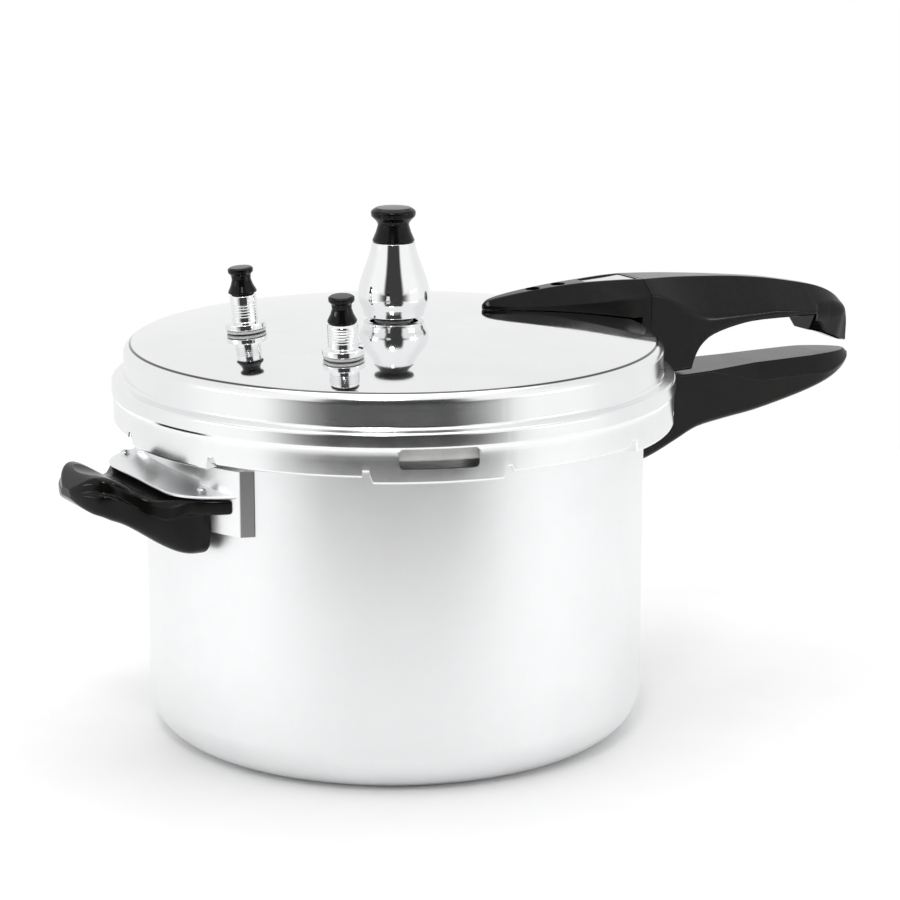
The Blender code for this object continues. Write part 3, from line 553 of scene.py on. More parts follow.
def make_gasket():
    profile = rounded(mm([
        (131.3, 169.6, 0.8), (131.3, 159.3, 1.0), (124.8, 159.3, 0.7), (122.4, 160.5, 0.3),
        (122.4, 162.4, 0.7), (127.0, 164.4, 0.8), (123.4, 170.4, 0.7), (126.6, 171.6, 0.6),
        (130.2, 170.6, 0.6)]), True)
    gasket = turned("gasket", profile, 200, closed=True)
    finish_piece(gasket, "lid", "seal_rubber", RUBBER, "lid_gasket")


# ---------------------------------------------------------------- fittings on the lid

def seal_and_nut(prefix, place):
    seal = turned(f"{prefix}_washer", rounded(mm([
        (9.3, 1.7, 0.4), (9.3, 0.4, 0.4), (5.2, 0.4, 0.2), (5.2, 1.7, 0.2)]), True), closed=True)
    finish_piece(seal, "lid", "seal_rubber", RUBBER, f"{prefix}_seal", matrix=on_dome(*place))
    nut = hex_nut(f"{prefix}_hexagon", 9.2 * MM, 5.2 * MM, -7.4 * MM, -3.0 * MM)
    finish_piece(nut, "lid", "steel", STEEL, f"{prefix}_nut", matrix=on_dome(*place))


def hex_nut(name, across, bore, low, high):
    """A hexagon with its corners turned off at both faces, and a bore."""
    steps = 96
    apothem = across * math.cos(math.radians(30))
    rings = []
    for i in range(steps):
        angle = math.tau * i / steps
        off = (angle + math.radians(30)) % math.radians(60) - math.radians(30)
        flat = min(across, apothem / math.cos(off))
        ease = (flat - apothem) * 0.55
        profile = [
            (bore, low), (apothem, low), (flat, low + ease), (flat, high - ease), (apothem, high),
            (bore, high)]
        rings.append([(r * math.cos(angle), r * math.sin(angle), z) for r, z in profile])
    return new_piece(name, *joined_rings(rings, True), sharp_deg=24.0)


def thread_profile(low, high, radius, pitch=1.3 * MM, depth=0.35 * MM):
    """A run of fine ring grooves along a shank, from high to low."""
    count = round((high - low) / pitch)
    rows = []
    for i in range(count):
        top = high - i * pitch
        rows += [(radius, top - 0.15 * pitch), (radius - depth, top - 0.5 * pitch),
                 (radius, top - 0.85 * pitch)]
    return rows


def make_vent():
    profile = rounded(mm([
        (1.1, 17.3), (2.3, 17.3, 0.4), (2.5, 14.4), (3.4, 13.2, 0.4), (4.0, 4.4), (8.3, 4.3, 0.4),
        (8.3, 2.0, 0.3), (4.8, 2.0), (4.8, -9.0, 0.5), (1.1, -9.0), (1.1, 17.3)]))
    finish_piece(turned("vent_tube", profile[:-1], closed=True), "lid", "chrome", CHROME, "vent_pipe",
                 matrix=on_dome(0.0, 0.0))
    seal_and_nut("vent", (0.0, 0.0))


def make_regulator():
    place = on_dome(0.0, 0.0)
    bell = rounded(mm([
        (2.8, 36.6), (10.2, 36.6, 0.5), (11.0, 32.4), (13.1, 26.2), (15.6, 19.6), (16.9, 14.4),
        (17.1, 11.0), (16.9, 8.4), (15.4, 5.4, 1.6), (14.7, 3.0), (14.5, 1.4, 0.5), (11.6, 1.4, 0.4),
        (11.0, 9.6, 2.0), (4.9, 13.2, 1.0), (2.8, 14.8)]))
    bell = soften(bell)
    finish_piece(turned("regulator_bell", bell, 128, closed=True), "regulator", "chrome", CHROME,
                 "regulator_weight", matrix=place)
    knob = rounded(mm([
        (0.0, 53.2), (8.3, 53.0, 1.4), (10.9, 51.4, 2.0), (10.5, 48.9, 1.3), (8.4, 46.8, 1.2),
        (7.3, 45.2, 2.0), (8.4, 41.4), (10.3, 37.0, 0.4), (2.8, 36.95), (2.8, 46.0), (0.0, 46.0)]), count=6)
    finish_piece(turned("regulator_grip", knob), "regulator", "black_bakelite", BAKELITE, "regulator_knob",
                 matrix=place)
    pin = rounded(mm([(0.0, 45.6), (2.4, 45.6, 0.3), (2.4, 19.6), (0.7, 17.7, 0.3), (0.0, 17.7)]))
    finish_piece(turned("regulator_needle", pin, 48), "regulator", "steel", STEEL, "regulator_pin",
                 matrix=place)


def soften(profile, rounds=2):
    """Cut the shallow corners of a profile, so that a swelling form has no facets."""
    for _ in range(rounds):
        result = [profile[0]]
        for a, b, c in zip(profile, profile[1:], profile[2:]):
            before, after = Vector(b) - Vector(a), Vector(c) - Vector(b)
            if min(before.length, after.length) > 0.6 * MM and before.angle(after) < math.radians(25):
                result += [tuple(Vector(b) - before * 0.25), tuple(Vector(b) + after * 0.25)]
            else:
                result.append(b)
        profile = result + [profile[-1]]
    return profile


def small_cap(low):
    """A waisted cap with a flat head and a flared foot, and a blind bore for its stem."""
    shape = rounded(mm([
        (0.0, 12.2), (5.0, 12.1, 0.7), (6.0, 11.4, 0.6), (5.9, 9.8, 0.5), (4.7, 8.5, 1.0), (4.5, 6.2, 2.4),
        (5.3, 3.6, 2.4), (6.7, 0.8, 0.4), (6.7, 0.0, 0.3), (2.5, 0.0), (2.5, 7.2), (0.0, 7.2)]))
    return [(r, z + low) for r, z in shape]


def make_indicator():
    place = on_dome(*INDICATOR_PLACE)
    body = rounded(mm([(2.6, 18.5), (5.4, 18.5, 0.5), (6.3, 17.4, 0.5), (6.3, 14.2)]))
    body += thread_profile(8.0 * MM, 14.0 * MM, 6.3 * MM)
    body += rounded(mm([
        (6.3, 7.6), (6.3, 5.4, 0.5), (9.8, 4.7, 0.5), (9.8, 2.0, 0.4), (4.8, 2.0), (4.8, -9.0, 0.5),
        (2.6, -9.0)]))
    finish_piece(turned("indicator_barrel", body, closed=True), "lid", "chrome", CHROME, "indicator_body",
                 matrix=place)
    seal_and_nut("indicator", INDICATOR_PLACE)
    stem = rounded(mm([
        (0.0, 25.6), (2.2, 25.6, 0.3), (2.2, -13.3), (4.0, -13.3, 0.3), (4.0, -15.3, 0.4), (0.0, -15.3)]))
    finish_piece(turned("indicator_rod", stem, 48), "indicator", "steel", STEEL, "indicator_stem",
                 matrix=place)
    finish_piece(turned("indicator_head", small_cap(18.85 * MM)), "indicator", "black_bakelite", BAKELITE,
                 "indicator_cap", matrix=place)


def make_coil(name, radius, wire, low, high, turns, per_turn=40, sides=10):
    """A round wire coil with closed ends, swept along its helix."""
    count = per_turn * turns
    sections = []
    for i in range(count + 1):
        angle = math.tau * i / per_turn
        height = low + wire / 2 + (high - low - wire) * i / count
        out = Vector((math.cos(angle), math.sin(angle), 0.0))
        ring = []
        for k in range(sides):
            turn = math.tau * k / sides
            lift = Vector((0.0, 0.0, wire / 2 * math.sin(turn)))
            ring.append(tuple(out * (radius + wire / 2 * math.cos(turn)) + Vector((0, 0, height)) + lift))
        sections.append(ring)
    return lofted(name, sections)


def make_safety_valve():
    place = on_dome(*SAFETY_PLACE)
    body = rounded(mm([(5.3, 16.4), (6.2, 16.4, 0.3), (7.0, 15.3, 0.4), (7.0, 14.2)]))
    body += thread_profile(7.6 * MM, 14.1 * MM, 7.0 * MM)
    body += rounded(mm([
        (7.0, 7.4), (7.0, 5.4, 0.5), (9.8, 4.7, 0.5), (9.8, 2.0, 0.4), (4.8, 2.0), (4.8, -9.0, 0.5),
        (1.9, -9.0), (1.9, 3.0), (5.3, 3.0)]))
    finish_piece(turned("safety_valve_barrel", body, closed=True), "lid", "chrome", CHROME,
                 "safety_valve_body", matrix=place)
    bush = rounded(mm([(4.95, 16.4, 0.3), (4.95, 13.0, 0.3), (2.4, 13.0, 0.2), (2.4, 16.4, 0.3)]), True)
    finish_piece(turned("safety_valve_collar", bush, closed=True), "lid", "brass", BRASS,
                 "safety_valve_bush", matrix=place)
    coil = make_coil("safety_valve_coil", 3.6 * MM, 0.9 * MM, 6.3 * MM, 12.7 * MM, 4)
    finish_piece(coil, "lid", "steel", STEEL, "safety_valve_spring", matrix=place)
    seal_and_nut("safety_valve", SAFETY_PLACE)
    stem = rounded(mm([
        (0.0, 23.5), (2.0, 23.5, 0.3), (2.0, 6.0), (4.6, 6.0, 0.4), (4.6, 3.35, 0.4), (0.0, 3.35)]))
    finish_piece(turned("safety_valve_rod", stem, 48), "safety_plunger", "steel", STEEL, "safety_valve_stem",
                 matrix=place)
    finish_piece(turned("safety_valve_head", small_cap(16.75 * MM)), "safety_plunger", "black_bakelite",
                 BAKELITE, "safety_valve_cap", matrix=place)


# ---------------------------------------------------------------- long handles

def mirrored_section(x, half, count=4):
    """A section square to X from its corners on the -Y side, (half width, z, radius), top first."""
    near = [(-width, z, radius) for width, z, radius in half]
    far = [(width, z, radius) for width, z, radius in reversed(half)]
    return [(x, y, z) for y, z in rounded(near + far, closed=True, count=count)]


TONGUE_HEEL = 131.0

# The tongue in mm: its place, half width and height of its flat top, half width and height of its shoulder
TONGUE_ROWS = [
    (49.4, 0.5, 200.4, 0.8, 199.6), (51.0, 1.0, 201.6, 2.2, 199.5), (54.0, 1.7, 202.7, 3.8, 199.3),
    (62.0, 2.7, 204.0, 6.2, 198.8), (74.0, 3.5, 205.3, 8.0, 198.0), (90.0, 4.4, 206.5, 10.8, 197.9),
    (106.0, 5.6, 207.1, 14.2, 198.2), (122.0, 8.4, 207.2, 17.3, 198.8),
    (TONGUE_HEEL, 9.8, 207.0, 18.2, 199.3), (135.9, 10.6, 206.8, 18.6, 199.6)]


def tongue_sections():
    """The tongue lies on the dome, and behind the lid its heel drops beside the shoulder."""
    sections = []
    for x, top_half, top, half, shoulder in smooth_rows(TONGUE_ROWS, 5):
        unders = [dome_height(min(x, 126.0) * MM) / MM + 0.15] if x <= TONGUE_HEEL else []
        if x >= TONGUE_HEEL:
            unders.append(175.7)
        for under in unders:
            corners = [(top_half, top, 0.8), (half, max(shoulder, under + 0.9), 1.2), (half, under, 0.4)]
            sections.append(mirrored_section(x * MM, mm(corners)))
    return sections


def make_tongue():
    tongue = lofted("handle_tongue", tongue_sections(), 40.0)
    tools = [plate_seat()]
    for number, radius in enumerate(SCREW_PLACES):
        tools.append(hole_tool(f"counterbore_{number}", 3.6 * MM, on_dome(radius, 0.0), 5.2 * MM, 18.0 * MM))
        tools.append(hole_tool(f"shank_{number}", 2.4 * MM, on_dome(radius, 0.0), -1.0 * MM, 8.0 * MM))
    tools.append(inset_plate("inset_pocket", 0.0, 205.5 * MM, 215.0 * MM))
    cut(tongue, *tools)
    finish_piece(tongue, "lid", "black_bakelite", BAKELITE, "upper_handle_tongue")


def plate_seat():
    return strip_along_dome("plate_seat", 68.0 * MM, 126.0 * MM, 5.3 * MM, -2.0 * MM, 2.2 * MM)


def strip_along_dome(name, start, end, half_width, low, high, count=16):
    """A strip of sheet that follows the lid's top along X."""
    sections = []
    for i in range(count + 1):
        x = start + (end - start) * i / count
        z = dome_height(x)
        sections.append([(x, -half_width, z + low), (x, half_width, z + low), (x, half_width, z + high),
                         (x, -half_width, z + high)])
    return lofted(name, sections)


def inset_plate(name, shrink, low, high, edge=0.0):
    """A tapering plate with soft corners, or the pocket for it, in the flat of the tongue."""
    narrow, wide = 4.2 * MM - shrink, 9.2 * MM - shrink
    start, end, soft = 106.0 * MM + shrink, 134.0 * MM - shrink, 1.2 * MM
    outline = rounded([(start, -narrow, soft), (end, -wide, soft), (end, wide, soft), (start, narrow, soft)],
                      closed=True)
    return prism(name, outline, low, high, edge)


def make_inset():
    plate = inset_plate("handle_inset", 0.25 * MM, 205.7 * MM, 206.55 * MM, 0.15 * MM)
    finish_piece(plate, "lid", "satin_aluminium", SHEET_STEEL, "upper_handle_inset")


# The grip in mm: its underside, its top, the half width of its foot and its half width, along X
GRIP_UNDER = [(136.3, 159.2), (150.0, 159.0), (162.2, 159.2), (163.2, 162.4), (165.4, 167.0), (169.0, 171.4),
              (176.0, 175.6), (191.0, 179.0), (207.0, 180.2), (241.4, 179.2), (243.4, 169.9), (248.0, 168.8),
              (253.0, 167.2), (260.0, 164.4), (265.0, 162.4), (269.4, 161.6)]
GRIP_TOP = [(136.3, 206.8), (150.0, 206.2), (165.0, 205.2), (190.0, 202.9), (216.0, 199.6), (240.0, 194.9),
            (251.0, 192.0), (259.0, 188.4), (264.4, 184.0), (267.6, 177.4), (269.0, 170.0), (269.4, 165.0)]
GRIP_FOOT = [(136.3, 17.8), (170.0, 17.2), (205.0, 16.4), (224.0, 15.4), (236.0, 14.6), (241.4, 13.4),
             (243.4, 6.4), (252.0, 6.2), (261.0, 6.0), (269.4, 3.4)]
GRIP_HALF = [(136.3, 18.6), (165.0, 18.0), (191.0, 17.4), (225.0, 17.0), (244.0, 16.4), (254.6, 14.6),
             (262.6, 11.4), (267.4, 7.0), (269.4, 4.0)]


GRIP_ROOT = GRIP_UNDER[0][0]
ROOT_SHOULDER = 199.6


def read_line(line, x):
    """The height of a line of (x, z) points at x."""
    for (x0, z0), (x1, z1) in zip(line, line[1:]):
        if x <= x1:
            return z0 + (z1 - z0) * max(0.0, x - x0) / (x1 - x0)
    return line[-1][1]


def stations(*lines, step=3.0):
    """The places of all the lines' points and of even steps between them."""
    low, high = lines[0][0][0], lines[0][-1][0]
    count = round((high - low) / step)
    places = {round(low + (high - low) * i / count, 3) for i in range(count + 1)}
    for line in lines:
        places |= {round(x, 3) for x, _ in line if low <= x <= high}
    return sorted(places)


def make_upper_grip():
    top, half = smooth_rows(GRIP_TOP, 4), smooth_rows(GRIP_HALF, 4)
    under = GRIP_UNDER[:2] + smooth_rows(GRIP_UNDER[2:10], 3) + smooth_rows(GRIP_UNDER[10:], 2)
    sections = []
    for x in stations(top, under):
        crest, foot, width = read_line(top, x), read_line(under, x), read_line(half, x)
        flat = min(3.4 + 7.0 * max(0.0, 1.0 - (x - 136.0) / 60.0), 0.6 * width)
        away = min(1.0, (x - GRIP_ROOT) / 40.0)
        away = away * away * (3.0 - 2.0 * away)
        lowest = 184.0 - 3.6 * min(1.0, max(0.0, (x - 215.0) / 25.0))
        middle = max(min(crest - 3.0, ROOT_SHOULDER + (lowest - ROOT_SHOULDER) * away), foot + 1.5)
        bend = 1.2 + 16.0 * away
        foot_half = min(read_line(GRIP_FOOT, x), width)
        corners = [(flat, crest, 1.1), (width, middle, bend), (foot_half, foot, 2.2)]
        sections.append(mirrored_section(x * MM, mm(corners), 10))
    grip = lofted("handle_grip", sections, 40.0)
    finish_piece(grip, "lid", "black_bakelite", BAKELITE, "upper_handle_grip")


def make_handle_fixings():
    plate = strip_along_dome("handle_strip", 68.5 * MM, 125.0 * MM, 4.8 * MM, 0.3 * MM, 1.8 * MM)
    tools = []
    for number, radius in enumerate(SCREW_PLACES):
        tools.append(hole_tool(f"strip_hole_{number}", SCREW_HOLE, on_dome(radius, 0.0)))
    finish_piece(cut(plate, *tools), "lid", "steel", STEEL, "upper_handle_plate")
    for number, radius in enumerate(SCREW_PLACES, start=1):
        place = on_dome(radius, 0.0)
        screw = rounded(mm([
            (0.0, 7.8), (2.4, 7.8, 0.6), (3.2, 7.0, 0.4), (3.2, 5.7, 0.2), (2.0, 5.6), (2.0, -9.0, 0.4),
            (0.0, -9.0)]))
        screw = cross_recess(turned(f"handle_bolt_{number}", screw, 48), 7.9 * MM, 1.0)
        finish_piece(screw, "lid", "steel", STEEL, f"upper_handle_screw_{number}", matrix=place)
        washer = rounded(mm([(5.6, -3.1, 0.3), (5.6, -4.3, 0.3), (2.5, -4.3, 0.2), (2.5, -3.1, 0.2)]), True)
        finish_piece(turned(f"handle_washer_{number}", washer, 48, True), "lid", "seal_rubber", RUBBER,
                     f"upper_handle_washer_{number}", matrix=place)
        nut = hex_nut(f"handle_hexagon_{number}", 4.0 * MM, 2.4 * MM, -7.9 * MM, -4.7 * MM)
        finish_piece(nut, "lid", "steel", STEEL, f"upper_handle_nut_{number}", matrix=place)


def cross_recess(screw, top, direction):
    """Cut the two slots of a cross recess into a screw's head."""
    tools = []
    for number, (long_half, short_half) in enumerate(((2.0, 0.4), (0.4, 2.0))):
        outline = [(-long_half * MM, -short_half * MM), (long_half * MM, -short_half * MM),
                   (long_half * MM, short_half * MM), (-long_half * MM, short_half * MM)]
        ends = sorted((top - direction * 1.0 * MM, top + direction * 1.0 * MM))
        tools.append(prism(f"slot_{number}", outline, *ends))
    return cut(screw, *tools)


# The lower handle in mm: its underside, its top and its half width, along X
LOWER_UNDER = [(126.0, 112.6), (138.0, 115.8), (146.0, 118.8), (156.0, 123.2), (168.0, 128.2), (185.0, 130.8),
               (205.0, 133.2), (232.0, 138.6), (250.0, 143.6), (262.0, 148.6), (268.0, 152.4), (269.6, 154.4)]
LOWER_TOP = [(126.0, 146.6), (138.6, 147.0), (140.4, 157.0), (205.0, 158.0), (250.0, 158.0), (269.6, 157.4)]
LOWER_HALF = [(126.0, 17.6), (165.0, 18.0), (205.0, 17.6), (240.0, 17.2), (252.0, 15.6), (261.0, 12.4),
              (267.0, 8.6), (269.6, 5.6)]


def make_lower_grip():
    under, half = smooth_rows(LOWER_UNDER, 4), smooth_rows(LOWER_HALF, 4)
    sections = []
    for x in stations(LOWER_TOP, under):
        crest, foot, width = read_line(LOWER_TOP, x), read_line(under, x), read_line(half, x)
        open_share = min(1.0, max(0.0, (x - 174.0) / 30.0))
        chamfer = 0.5 + 3.4 * open_share
        depth = min(0.6 + 8.4 * open_share, 0.62 * (crest - foot))
        corners = [(max(width - chamfer, 1.0), crest, 0.6), (width, crest - depth, 0.8),
                   (0.90 * width, foot, 4.0)]
        sections.append(mirrored_section(x * MM, mm(corners)))
    grip = lofted("lower_grip", sections, 40.0)
    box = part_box("lower_handle_screw")
    screw_x = (box[0].x + box[1].x) / 2
    slot_start, slot_end, slot_half = 120.0 * MM, screw_x + 10.6 * MM, 8.8 * MM
    slot_outline = [(slot_start, -slot_half), (slot_end, -slot_half), (slot_end, slot_half),
                    (slot_start, slot_half)]
    upright = Matrix.Translation((screw_x, 0.0, 0.0))
    cut(grip, prism("tab_slot", slot_outline, 127.6 * MM, 131.4 * MM),
        hole_tool("lower_counterbore", 4.6 * MM, upright, 105.0 * MM, 121.4 * MM),
        hole_tool("lower_bore", 2.4 * MM, upright, 118.0 * MM, 138.0 * MM))
    finish_piece(grip, "pot", "black_bakelite", BAKELITE, "lower_handle_grip")
    profile = rounded(mm([
        (0.0, 137.4), (2.0, 137.4, 0.4), (2.0, 121.0), (4.2, 121.0, 0.3), (3.8, 118.6, 0.8), (0.0, 118.0)]))
    screw = cross_recess(turned("lower_screw", profile, 48), 118.0 * MM, -1.0)
    finish_piece(screw, "pot", "steel", STEEL, "lower_handle_screw", matrix=upright)


# ---------------------------------------------------------------- helper handle

HELPER_FRONT_Z = 136.6
LEDGE_BOTTOM = 127.8

# The helper shelf's front edge: angle from its middle in degrees, distance from the pot's axis in mm
HELPER_SHELF_FRONT = [
    (-27.2, 123.8), (-25.7, 125.6), (-23.4, 129.7), (-20.4, 134.4), (-17.3, 137.4), (-13.3, 138.6),
    (-8.4, 136.8), (0.0, 135.2), (8.4, 136.8), (13.3, 138.6), (17.3, 137.4), (20.4, 134.4),
    (23.4, 129.7), (25.7, 125.6), (27.2, 123.8)]

# The helper handle in mm: reach, half width and height of its top, half width and height of its bottom
HELPER_ROWS = [
    (108.0, 53.8, 134.6, 40.4, 107.4), (112.5, 53.4, 134.6, 40.6, 107.2), (119.0, 50.8, 134.6, 41.0, 107.0),
    (126.0, 46.4, 134.6, 41.2, 107.4), (131.5, 41.0, 134.2, 39.0, 108.8), (137.0, 34.2, 132.8, 34.2, 111.6),
    (142.0, 28.4, 133.8, 29.0, 115.0), (147.0, 24.4, 136.6, 25.6, 118.4), (152.0, 22.6, 140.2, 24.8, 121.2),
    (157.0, 22.0, 142.8, 25.0, 123.4), (161.0, 20.4, 143.6, 23.8, 125.4), (164.6, 17.2, 142.8, 20.8, 126.8),
    (167.6, 12.6, 140.4, 15.8, 128.8), (169.6, 7.4, 137.8, 10.0, 130.8), (170.6, 3.6, 136.2, 5.2, 132.4)]


def helper_polar(radius, away_deg, z):
    """A point from its radius and its angle from the helper handle's middle, all in mm and degrees."""
    azimuth = math.pi + math.radians(away_deg)
    return (radius * MM * math.cos(azimuth), radius * MM * math.sin(azimuth), z * MM)


def make_helper_bracket():
    """Saddle on the wall with folded ends, and a shelf that slopes out to a level front edge."""
    back = [helper_polar(120.3, 29.5 - 59.0 * i / 40, 0.0)[:2] for i in range(41)]
    front = [helper_polar(124.6, -27.4 + 11.4 * i / 10, 0.0)[:2] for i in range(11)]
    front += [helper_polar(121.9, -15.0 + 30.0 * i / 20, 0.0)[:2] for i in range(21)]
    front += [helper_polar(124.6, 16.0 + 11.4 * i / 10, 0.0)[:2] for i in range(11)]
    saddle = prism("helper_saddle", back + front, 118.0 * MM, 148.2 * MM)
    shelf = make_helper_shelf()
    join = saddle.modifiers.new("join", "BOOLEAN")
    join.operation = "UNION"
    join.object = shelf
    join.solver = "EXACT"
    cut(saddle)
    bpy.data.objects.remove(shelf, do_unlink=True)
    finish_piece(saddle, "pot", "steel", BRACKET, "helper_bracket")


def make_helper_shelf():
    sections = []
    for away, front in smooth_rows(HELPER_SHELF_FRONT, 5):
        back_z = HELPER_FRONT_Z + 4.9 - 4.0 * (away / 23.0) ** 2
        sections.append([
            helper_polar(121.2, away, back_z), helper_polar(front - 0.5, away, HELPER_FRONT_Z + 0.1),
            helper_polar(front, away, HELPER_FRONT_Z - 0.4), helper_polar(front, away, HELPER_FRONT_Z - 0.9),
            helper_polar(front - 0.5, away, HELPER_FRONT_Z - 1.2), helper_polar(121.2, away, back_z - 1.3)])
    return lofted("helper_shelf", sections)


def make_helper_grip():
    """A wide upper ledge and a lower lobe at the root, then a waist and a bulb with a dished top."""
    sections = []
    for reach, half, top, low_half, bottom in smooth_rows(HELPER_ROWS, 5):
        ledge = max(0.0, min(1.0, (half - low_half) / 3.0))
        middle = bottom + 0.62 * (top - bottom)
        middle += (LEDGE_BOTTOM - middle) * ledge
        swell = 0.6 * (1.0 - ledge)
        low_round = min(7.0, 0.3 * (top - bottom), 0.6 * low_half)
        top_round = min(1.4 + 4.6 * (1.0 - ledge), 0.6 * half)
        side_round = 2.0 + 6.0 * (1.0 - ledge)
        points = rounded([
            (-half, top, top_round), (-half - swell, middle, side_round),
            (-low_half, middle - 0.5, side_round), (-low_half, bottom, low_round),
            (low_half, bottom, low_round), (low_half, middle - 0.5, side_round),
            (half + swell, middle, side_round), (half, top, top_round)], closed=True, count=6)
        sections.append([(-reach * MM, y * MM, z * MM) for y, z in points])
    grip = lofted("helper_grip", sections, 50.0)
    wall = prism("helper_wall", circle(125.0 * MM, 256), 90.0 * MM, 160.0 * MM)
    cut(grip, wall, dish_tool())
    finish_piece(grip, "pot", "black_bakelite", BAKELITE, "helper_handle_grip")


def dish_tool():
    """A flattened ball that hollows the thumb rest."""
    profile = [(math.sin(math.pi * i / 24), math.cos(math.pi * i / 24)) for i in range(25)]
    ball = turned("dish_tool", [(r * MM, z * MM) for r, z in profile], 64)
    ball.scale = (11.0, 15.5, 3.4)
    ball.location = (-156.5 * MM, 0.0, 145.2 * MM)
    return ball


def make_helper_screws():
    for number, side in enumerate((-1, 1), start=1):
        x, y, _ = helper_polar(129.5, side * 19.0, 0.0)
        profile = rounded(mm([
            (0.0, 139.6), (1.6, 139.4, 0.4), (2.4, 138.3, 0.2), (1.5, 138.2), (1.5, 129.8), (0.0, 129.8)]))
        screw = turned(f"helper_bolt_{number}", profile, 40)
        finish_piece(screw, "pot", "steel", STEEL, f"helper_screw_{number}",
                     matrix=Matrix.Translation((x, y, 0.0)))


def make_plain_finishes():
    """CAD nodes whose shape is right keep it and take a worked finish."""
    finishes = {
        "satin_aluminium": SATIN, "polished_aluminium": POLISHED, "chrome": CHROME, "steel": SHEET_STEEL,
        "brass": BRASS, "black_bakelite": BAKELITE, "seal_rubber": RUBBER}
    slots = {part["node"]: part["material_slot"] for part in frame["record"]["subparts"]}
    for name, node in frame["nodes"].items():
        if not node.hide_render:
            node.data.materials.clear()
            node.data.materials.append(finishes[slots[name]])


# ---------------------------------------------------------------- studio

CAMERA_AZIMUTH = math.radians(-119.0)
CAMERA_DISTANCE = 1326.1 * MM
CAMERA_HEIGHT = 449.3 * MM
CAMERA_PITCH = math.radians(13.4)
CAMERA_YAW = math.radians(1.16)
CAMERA_LENS = 112.8


def make_camera():
    camera = bpy.data.objects.new("camera", bpy.data.cameras.new("camera"))
    bpy.context.scene.collection.objects.link(camera)
    camera.data.lens = CAMERA_LENS
    camera.data.sensor_width = 36.0
    camera.location = (
        CAMERA_DISTANCE * math.cos(CAMERA_AZIMUTH), CAMERA_DISTANCE * math.sin(CAMERA_AZIMUTH), CAMERA_HEIGHT)
    heading = CAMERA_AZIMUTH + math.pi - CAMERA_YAW
    camera.rotation_euler = (math.pi / 2 - CAMERA_PITCH, 0.0, heading - math.pi / 2)
    bpy.context.scene.camera = camera


WORLD_LIGHT = 0.93
WORLD_SIDE = 1.04
WORLD_DIM = 0.05


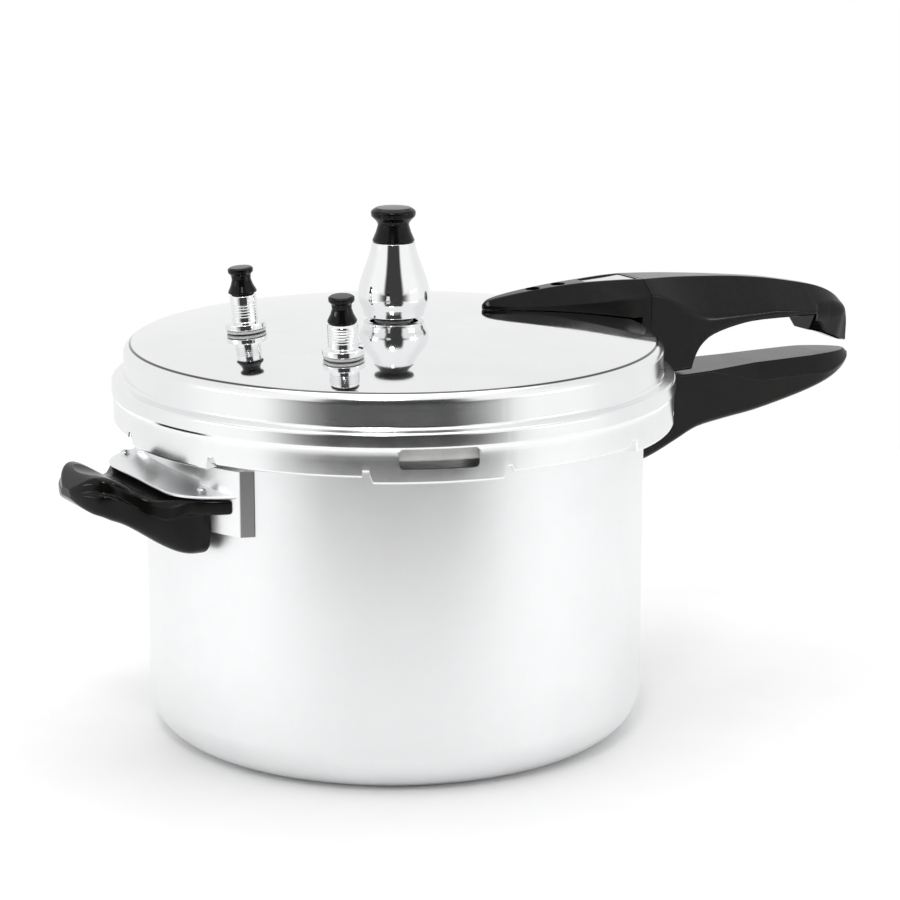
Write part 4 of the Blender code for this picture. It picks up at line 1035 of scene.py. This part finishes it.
def make_world():
    """White surroundings, brighter on the camera's side, where a low part and a narrow tall one are dim."""
    world = bpy.data.worlds.new("studio")
    bpy.context.scene.world = world
    world.use_nodes = True
    tree = world.node_tree
    background = tree.nodes["Background"]
    direction = add_node(tree, "ShaderNodeTexCoord").outputs["Generated"]
    level = add_node(tree, "ShaderNodeVectorMath", {"operation": "MULTIPLY"}, {
        0: direction, 1: (1.0, 1.0, 0.0)}).outputs[0]
    level = add_node(tree, "ShaderNodeVectorMath", {"operation": "NORMALIZE"}, {0: level}).outputs[0]
    front = (math.cos(CAMERA_AZIMUTH), math.sin(CAMERA_AZIMUTH), 0.0)
    facing = add_node(tree, "ShaderNodeVectorMath", {"operation": "DOT_PRODUCT"}, {
        0: level, 1: front}).outputs["Value"]
    height = add_node(tree, "ShaderNodeSeparateXYZ", inputs={0: direction}).outputs["Z"]
    sector = ramp(tree, facing, math.cos(math.radians(58)), math.cos(math.radians(24)), 0.0, 1.0)
    low = ramp(tree, height, -0.02, 0.20, 1.0, 0.0)
    ground = ramp(tree, height, -0.246, -0.227, 0.76, 1.0)
    low = add_node(tree, "ShaderNodeMath", {"operation": "MULTIPLY"}, {0: low, 1: ground}).outputs[0]
    wide = add_node(tree, "ShaderNodeMath", {"operation": "MULTIPLY"}, {0: sector, 1: low}).outputs[0]
    sector = ramp(tree, facing, math.cos(math.radians(37)), math.cos(math.radians(25)), 0.0, 1.0)
    low = ramp(tree, height, 0.62, 0.76, 1.0, 0.0)
    tall = add_node(tree, "ShaderNodeMath", {"operation": "MULTIPLY"}, {0: sector, 1: low}).outputs[0]
    dim = add_node(tree, "ShaderNodeMath", {"operation": "MAXIMUM"}, {0: wide, 1: tall}).outputs[0]
    bright = ramp(tree, facing, -0.30, 0.25, WORLD_LIGHT, WORLD_SIDE)
    glow = add_node(tree, "ShaderNodeMix", {"data_type": "FLOAT"}, {
        0: dim, 2: bright, 3: WORLD_DIM}).outputs[0]
    seen = add_node(tree, "ShaderNodeLightPath").outputs["Is Camera Ray"]
    strength = add_node(tree, "ShaderNodeMix", {"data_type": "FLOAT"}, {0: seen, 2: glow, 3: 1.0})
    background.inputs["Color"].default_value = (1.0, 1.0, 1.0, 1.0)
    link(tree, strength.outputs[0], background.inputs["Strength"])


def make_softbox(name, azimuth_deg, distance, height, size, power):
    light = bpy.data.lights.new(name, "AREA")
    light.shape = "RECTANGLE"
    light.size, light.size_y = size
    light.energy = power
    box = bpy.data.objects.new(name, light)
    azimuth = CAMERA_AZIMUTH + math.radians(azimuth_deg)
    box.location = (distance * math.cos(azimuth), distance * math.sin(azimuth), height)
    box.rotation_euler = (Vector((0.0, 0.0, 0.10)) - box.location).to_track_quat("-Z", "Y").to_euler()
    box.visible_camera = False
    bpy.context.scene.collection.objects.link(box)


def make_floor():
    """A round white table top."""
    radius = 650.0 * MM
    material, tree, shader = new_material("white_table", (0.93, 0.93, 0.93), 0.7, 0.0)
    grain = noise(tree, object_place(tree, (1.0, 1.0, 1.0)), 30.0, 3.0)
    shade = tint(tree, grain, 0.2, 0.8, (0.92, 0.92, 0.92), (0.94, 0.94, 0.94))
    link(tree, shade, shader.inputs["Base Color"])
    floor = prism("table_top", circle(radius, 128), -12.0 * MM, 0.0, 2.0 * MM)
    floor.data.materials.append(material)


def main():
    make_camera()
    make_world()
    make_floor()
    make_softbox("softbox_left", -68.0, 1.7, 0.45, (0.7, 0.06), 2.2)
    make_softbox("softbox_right", 68.0, 1.7, 0.45, (0.7, 0.06), 1.8)
    make_softbox("key", -8.0, 1.4, 1.6, (0.35, 0.28), 6.5)
    make_softbox("overhead", 180.0, 0.3, 1.9, (1.6, 1.6), 9.0)
    make_pot()
    make_lid()
    make_gasket()
    make_vent()
    make_regulator()
    make_indicator()
    make_safety_valve()
    make_tongue()
    make_inset()
    make_upper_grip()
    make_handle_fixings()
    make_lower_grip()
    make_helper_bracket()
    make_helper_grip()
    make_helper_screws()
    make_plain_finishes()
    bpy.context.scene.view_settings.view_transform = "Standard"


main()
